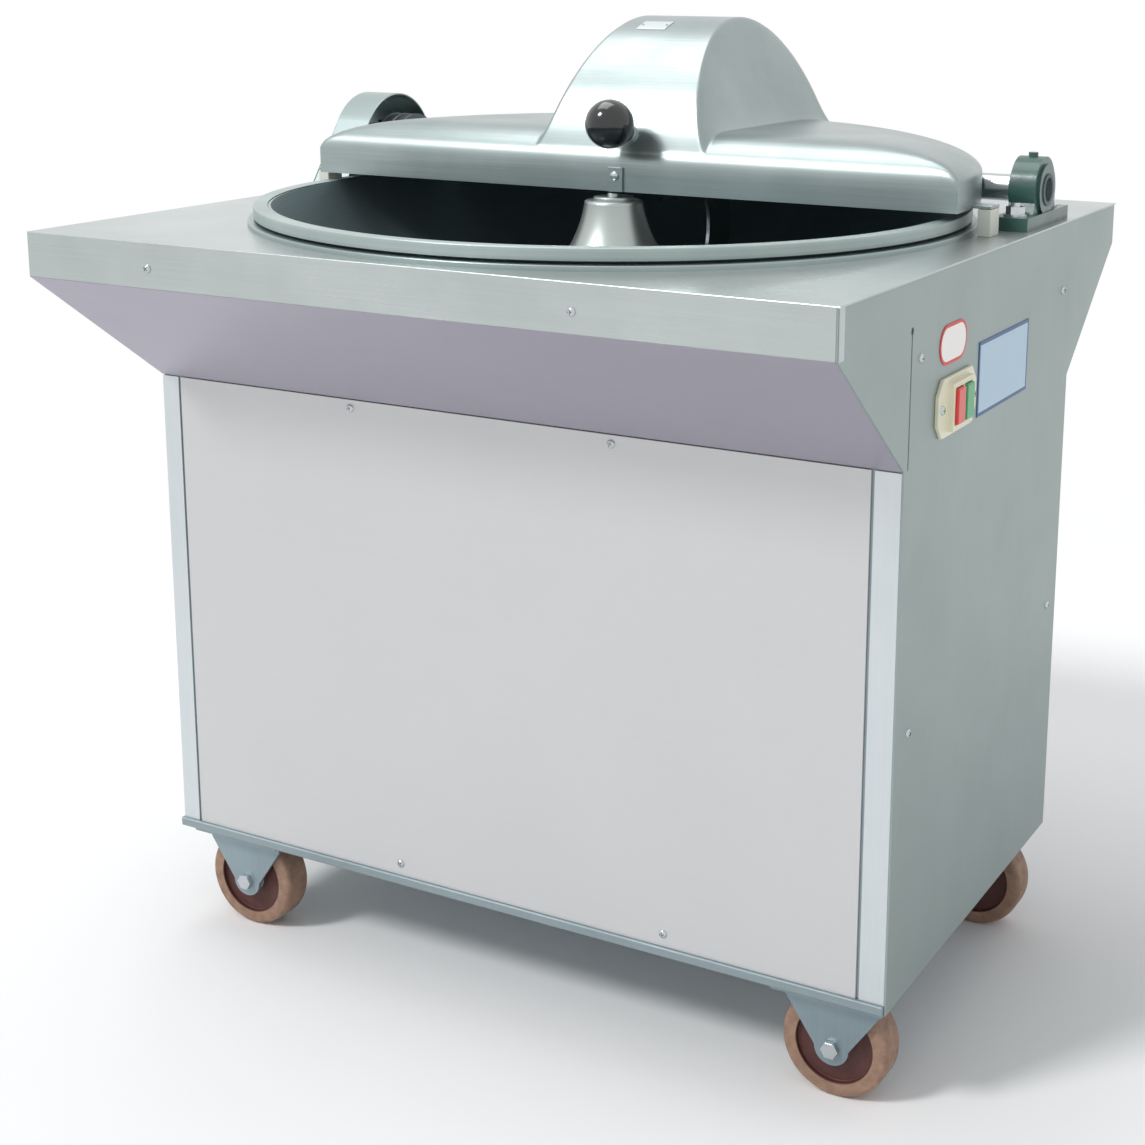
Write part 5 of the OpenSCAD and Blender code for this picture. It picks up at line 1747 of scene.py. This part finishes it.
    def _shell(self) -> None:
        """Builds the cover's shell with its wall and openings."""
        obj = show_mesh("cover_shell", self._skin(), COVER_METAL, self.sharp)
        wall = obj.modifiers.new("wall", "SOLIDIFY")
        wall.thickness = self.wall * MM
        wall.offset = -1.0
        wall.use_even_offset = False
        wall.use_rim = True
        cutter = self._cutter()
        openings = obj.modifiers.new("openings", "BOOLEAN")
        openings.operation = "DIFFERENCE"
        openings.solver = "EXACT"
        openings.object = cutter
        mesh = made_plain(obj)
        bpy.data.objects.remove(cutter)
        mesh.polygons.foreach_set("use_smooth", [True] * len(mesh.polygons))
        mesh.set_sharp_from_angle(angle=math.radians(self.sharp))
        stand_in(obj, "cover", "cover_metal", "knife_cover")

    def _knob(self) -> None:
        """Builds the ball knob."""
        rise = math.radians(self.knob_rise)
        along = Vector((0.0, -math.cos(rise), math.sin(rise)))
        foot = Vector((self.knob_x + LAYOUT.mid_x, LAYOUT.shaft_y, LAYOUT.shaft_z))
        centre = foot + along * (self.dome_r + self.knob_out)
        radius, steps = self.knob_r, 28
        base = -math.sqrt(radius * radius - self.knob_seat**2)
        start = math.acos(-base / radius)
        profile: Profile = [(0.0, base)]
        for k in range(steps + 1):
            angle = start + (math.pi - start) * k / steps
            profile.append((radius * math.sin(angle) if k < steps else 0.0, -radius * math.cos(angle)))
        mesh = lathe("knob_ball", profile, axis_at(tuple(centre), tuple(along)), 64)
        stand_in(show_mesh("knob_ball", mesh, KNOB_BLACK, 50.0), "cover", "black_plastic", "ball_knob")

    def build(self) -> None:
        """Builds the cover and everything that lifts with it."""
        self._shell()
        self._knob()
        softened("knob_stem", BRIGHT_STEEL, "shaft_steel", 0.4)
        softened("hinge_arms", COVER_METAL, "cover_metal", 0.6)
        softened("cover_catch", COVER_METAL, "cover_metal", 0.4)
        softened("cover_screws", BRIGHT_STEEL, "fasteners", 0.0)
        softened("dome_plate", STRIP_STEEL, "stainless", 0.2)


# ---------- casters ----------


@dataclass
class Casters:
    """Four fixed casters with dished wheels.

    Attributes:
        wheel_r: radius of a wheel.
        half_w: half the width of the tread.
        hub_half: half the width of the hub.
        core_r: radius of the dished core.
        hub_r: radius of the hub.
        dish: depth of the dish.
        bore: radius of the axle hole.
        right_x: place of the right wheels.
        left_x: place of the left wheels.
        y: distance of the wheels from the middle.
    """

    wheel_r: float = 56.0
    half_w: float = 18.0
    hub_half: float = 20.0
    core_r: float = 40.0
    hub_r: float = 15.0
    dish: float = 5.0
    bore: float = 5.05
    right_x: float = 382.0
    left_x: float = -346.0
    y: float = 203.0

    def _profile(self) -> Profile:
        """Returns a wheel's closed section."""
        floor = self.half_w - self.dish
        half = [
            (self.bore, self.hub_half, 0.8),
            (self.hub_r, self.hub_half, 1.0),
            (self.hub_r, floor, 1.2),
            (self.core_r, floor, 1.5),
            (self.core_r, self.half_w, 1.0),
            (self.wheel_r, self.half_w, 6.5),
        ]
        mirrored = [(r, -z, s) for r, z, s in reversed(half)]
        return rounded_profile(half + mirrored, 6)

    def build(self) -> None:
        """Builds the four wheels and dresses the forks and axles."""
        for name, x, y in (
            ("wheel_front_right", self.right_x, -self.y),
            ("wheel_front_left", self.left_x, -self.y),
            ("wheel_rear_right", self.right_x, self.y),
            ("wheel_rear_left", self.left_x, self.y),
        ):
            axle = LAYOUT.point(x, y, self.wheel_r)
            finish = Tyre(
                name + "_tread",
                axle,
                tread=srgb(168, 134, 112),
                core=srgb(92, 48, 42),
                hub=srgb(150, 154, 158),
            )
            mesh = lathe(name + "_turned", self._profile(), axis_at(axle, (0.0, -1.0, 0.0)), 96)
            body = frame["nodes"][name]["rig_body"]
            stand_in(show_mesh(name + "_turned", mesh, finish, 45.0), body, "wheel_resin", name)
        softened("caster_forks", ZINC, "caster_zinc", 0.7)
        softened("axle_bolts", BRIGHT_STEEL, "fasteners", 0.5)


# ---------- the rest of the machine ----------


@dataclass(frozen=True)
class Dressed:
    """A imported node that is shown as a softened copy.

    Attributes:
        node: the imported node.
        finish: its finish.
        slot: the record's material slot.
        edge: width of its edge rounding, in millimetres.
    """

    node: str
    finish: object
    slot: str
    edge: float = 0.6


@dataclass
class Group:
    """A sub-assembly of softened pieces.

    Attributes:
        title: what it is.
        pieces: its pieces.
    """

    title: str
    pieces: list[Dressed]

    def build(self) -> None:
        """Stands a softened copy in the place of each piece."""
        for piece in self.pieces:
            softened(piece.node, piece.finish, piece.slot, piece.edge)
        LOG.info("%s: %d pieces", self.title, len(self.pieces))


def machine_groups() -> list[Group]:
    """Returns the sub-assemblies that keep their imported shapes."""
    return [
        Group(
            "cabinet",
            [
                Dressed("front_panel", PANEL_STEEL, "stainless", 0.5),
                Dressed("edge_strips", STRIP_STEEL, "stainless", 0.5),
                Dressed("rear_panel", PANEL_STEEL, "stainless", 0.3),
                Dressed("right_side_panel", SIDE_STEEL_PAINTED_SHADE, "stainless", 0.5),
                Dressed("left_side_panel", SIDE_STEEL_PAINTED_SHADE, "stainless", 0.5),
                Dressed("front_skirt", SKIRT_STEEL_PAINTED_SHADE, "stainless", 0.3),
                Dressed("rear_skirt", SKIRT_STEEL_PAINTED_SHADE, "stainless", 0.3),
                Dressed("left_skirt", SKIRT_STEEL_PAINTED_SHADE, "stainless", 0.3),
                Dressed("base_frame", FRAME_STEEL, "frame_steel", 1.5),
                Dressed("bottom_panel", FRAME_STEEL, "stainless", 0.3),
                Dressed("cable_gland", BLACK_PLASTIC, "black_plastic", 0.4),
            ],
        ),
        Group("table", [Dressed("table_top", TABLE_STEEL, "stainless", 0.7)]),
        Group(
            "knife drive",
            [
                Dressed("knife_shaft", BRIGHT_STEEL, "shaft_steel", 0.8),
                Dressed("bearing_housings", BEARING_PAINT, "bearing_paint", 1.2),
                Dressed("bearing_rings", CAST_IRON, "shaft_steel", 0.5),
                Dressed("belt_guard", RING_METAL, "stainless", 0.8),
                Dressed("hinge_brackets", STRIP_STEEL, "stainless", 0.5),
                Dressed("hinge_pins", BRIGHT_STEEL, "fasteners", 0.5),
                Dressed("rest_blocks", REST_NYLON, "rest_nylon", 0.8),
            ],
        ),
        Group(
            "switch",
            [
                Dressed("switch_housing", SWITCH_CREAM, "switch_cream", 0.8),
                Dressed("stop_button", STOP_RED, "button_red", 1.2),
                Dressed("start_button", START_GREEN, "button_green", 1.2),
                Dressed("round_plate", ROUND_FACE, "plate_blue", 0.1),
                Dressed("rating_plate", RATING_FACE, "plate_blue", 0.1),
            ],
        ),
    ]


def dress_inner_pieces() -> None:
    """Gives the pieces inside the cabinet and under the cover their finishes."""
    finishes = {
        "inner_frame": FRAME_STEEL,
        "drive_belts": BELT_RUBBER,
        "motor_rails": FRAME_STEEL,
        "motor_frame": MOTOR_PAINT,
        "fan_cowl": MOTOR_PAINT,
        "terminal_box": MOTOR_PAINT,
        "gearbox_housing": GEARBOX_PAINT,
        "support_beams": FRAME_STEEL,
        "bowl_spindle": BRIGHT_STEEL,
        "knives": BRIGHT_STEEL,
        "knife_clamps": BRIGHT_STEEL,
        "knife_pulley": CAST_IRON,
        "motor_shaft": BRIGHT_STEEL,
        "motor_pulley": CAST_IRON,
        "motor_fan": BLACK_PLASTIC,
        "worm_shaft": BRIGHT_STEEL,
        "gear_pulley": CAST_IRON,
    }
    for node, finish in finishes.items():
        mesh = frame["nodes"][node].data
        mesh.materials.clear()
        mesh.materials.append(FINISHES.get(finish))
    LOG.info("inner pieces: %d", len(finishes))


# ---------- stage ----------


@dataclass(frozen=True)
class Lamp:
    """One lamp.

    Attributes:
        name: its name.
        kind: "SUN" or "AREA".
        energy: its strength.
        place: where it stands, in metres.
        aim: the point that it faces, in metres.
        size: an area lamp's side in metres, or a sun's angle in degrees.
    """

    name: str
    kind: str
    energy: float
    place: Point
    aim: Point
    size: float

    def build(self) -> None:
        """Adds the lamp to the scene."""
        data = bpy.data.lights.new(self.name, self.kind)
        data.energy = self.energy
        if self.kind == "SUN":
            data.angle = math.radians(self.size)
        else:
            data.shape = "SQUARE"
            data.size = self.size
        lamp = bpy.data.objects.new(self.name, data)
        spot = Vector(self.place)
        turn = (Vector(self.aim) - spot).to_track_quat("-Z", "Y").to_matrix().to_4x4()
        lamp.matrix_world = Matrix.Translation(spot) @ turn
        bpy.context.scene.collection.objects.link(lamp)


@dataclass
class Stage:
    """Floor, world, lamps and camera.

    Attributes:
        eye: the camera's place, in millimetres.
        yaw: its turn from +Y toward +X, in radians.
        pitch: its tilt, upward positive.
        roll: its roll.
        lens: focal length in millimetres on a 36 mm sensor.
        shift_x: sideways lens shift.
        shift_y: upright lens shift.
        floor_half: half the floor's side, in metres.
        lamps: the lamps.
    """

    eye: Point = (1031.31, -1813.98, 1084.05)
    yaw: float = -0.50164
    pitch: float = -0.22012
    roll: float = 0.0039
    lens: float = 60.985
    shift_x: float = -0.05895
    shift_y: float = -0.15066
    floor_half: float = 30.0
    lamps: tuple[Lamp, ...] = (
        Lamp("key", "SUN", 1.5, (-2.0, -3.0, 4.0), (0.0, 0.0, 0.6), 12.0),
        Lamp("top", "AREA", 18.0, (-0.6, 0.2, 2.8), (0.0, 0.1, 0.9), 1.4),
    )

    def _camera(self) -> None:
        """Makes the photograph's camera."""
        forward = Vector(
            (
                math.sin(self.yaw) * math.cos(self.pitch),
                math.cos(self.yaw) * math.cos(self.pitch),
                math.sin(self.pitch),
            )
        )
        right = Vector((math.cos(self.yaw), -math.sin(self.yaw), 0.0))
        up = right.cross(forward)
        level = math.cos(self.roll) * right + math.sin(self.roll) * up
        upright = -math.sin(self.roll) * right + math.cos(self.roll) * up
        data = bpy.data.cameras.new("camera")
        data.sensor_width = 36.0
        data.lens = self.lens
        data.shift_x = self.shift_x
        data.shift_y = self.shift_y
        data.clip_start = 0.05
        data.clip_end = 200.0
        data.dof.use_dof = False
        camera = bpy.data.objects.new("camera", data)
        turn = Matrix((level, upright, -forward)).transposed()
        camera.matrix_world = Matrix.Translation(Vector(self.eye) * MM) @ turn.to_4x4()
        bpy.context.scene.collection.objects.link(camera)
        bpy.context.scene.camera = camera

    def _world(self) -> None:
        """Lights the machine softly and shows a white background."""
        world = bpy.data.worlds.new("studio")
        world.use_nodes = True
        bpy.context.scene.world = world
        shader = Shader("studio", world.node_tree)
        path = shader.tree.nodes.new("ShaderNodeLightPath")
        seen = Tap(shader, path.outputs["Is Camera Ray"]) + Tap(shader, path.outputs["Is Transmission Ray"])
        seen = (seen + Tap(shader, path.outputs["Is Glossy Ray"])).clip(0.0, 1.0)
        direction = shader.node("ShaderNodeTexCoord", {}, {}, "Generated")
        height = (shader.part(direction, 2) * 0.5 + 0.5).clip(0.0, 1.0)
        ramp = shader.node(
            "ShaderNodeValToRGB",
            {"stops": [(0.0, (0.42, 0.43, 0.45)), (0.5, (0.62, 0.63, 0.65)), (1.0, (0.86, 0.87, 0.88))]},
            {0: height},
        )
        soft = shader.node("ShaderNodeBackground", {}, {"Color": ramp, "Strength": 0.8})
        white = shader.node("ShaderNodeBackground", {}, {"Color": (1.0, 1.0, 1.0), "Strength": 1.0})
        mixed = shader.node("ShaderNodeMixShader", {}, {0: seen, 1: soft, 2: white})
        shader.node("ShaderNodeOutputWorld", {}, {"Surface": mixed})

    def _floor(self) -> None:
        """Makes the white floor, which keeps the machine's shadow near it."""
        mesh = bpy.data.meshes.new("floor")
        half = self.floor_half
        corners = [(-half, -half, 0.0), (half, -half, 0.0), (half, half, 0.0), (-half, half, 0.0)]
        mesh.from_pydata(corners, [], [(0, 1, 2, 3)])
        shader = Shader("floor_white")
        far = ((shader.distance(shader.place()) - 1.0) * 0.7).clip(0.0, 1.0)
        matt = shader.node("ShaderNodeBsdfDiffuse", {}, {"Color": (0.93, 0.93, 0.93)})
        white = shader.node("ShaderNodeEmission", {}, {"Color": (1.0, 1.0, 1.0), "Strength": 1.0})
        mixed = shader.node("ShaderNodeMixShader", {}, {0: far, 1: matt, 2: white})
        shader.node("ShaderNodeOutputMaterial", {}, {"Surface": mixed})
        mesh.materials.append(shader.material)
        floor = bpy.data.objects.new("floor", mesh)
        bpy.context.scene.collection.objects.link(floor)

    def build(self) -> None:
        """Builds the whole stage."""
        self._floor()
        self._world()
        for lamp in self.lamps:
            lamp.build()
        self._camera()
        scene = bpy.context.scene
        scene.view_settings.view_transform = "Standard"
        LOG.info("stage: floor, world, lamps, camera")


def main() -> None:
    """Builds the machine's looks and its stage, in order."""
    logging.basicConfig(level=logging.INFO, format="%(message)s")
    for group in machine_groups():
        group.build()
    Bowl().build()
    Cover().build()
    Casters().build()
    Fasteners().build()
    dress_inner_pieces()
    Stage().build()


if __name__ == "__main__":
    main()
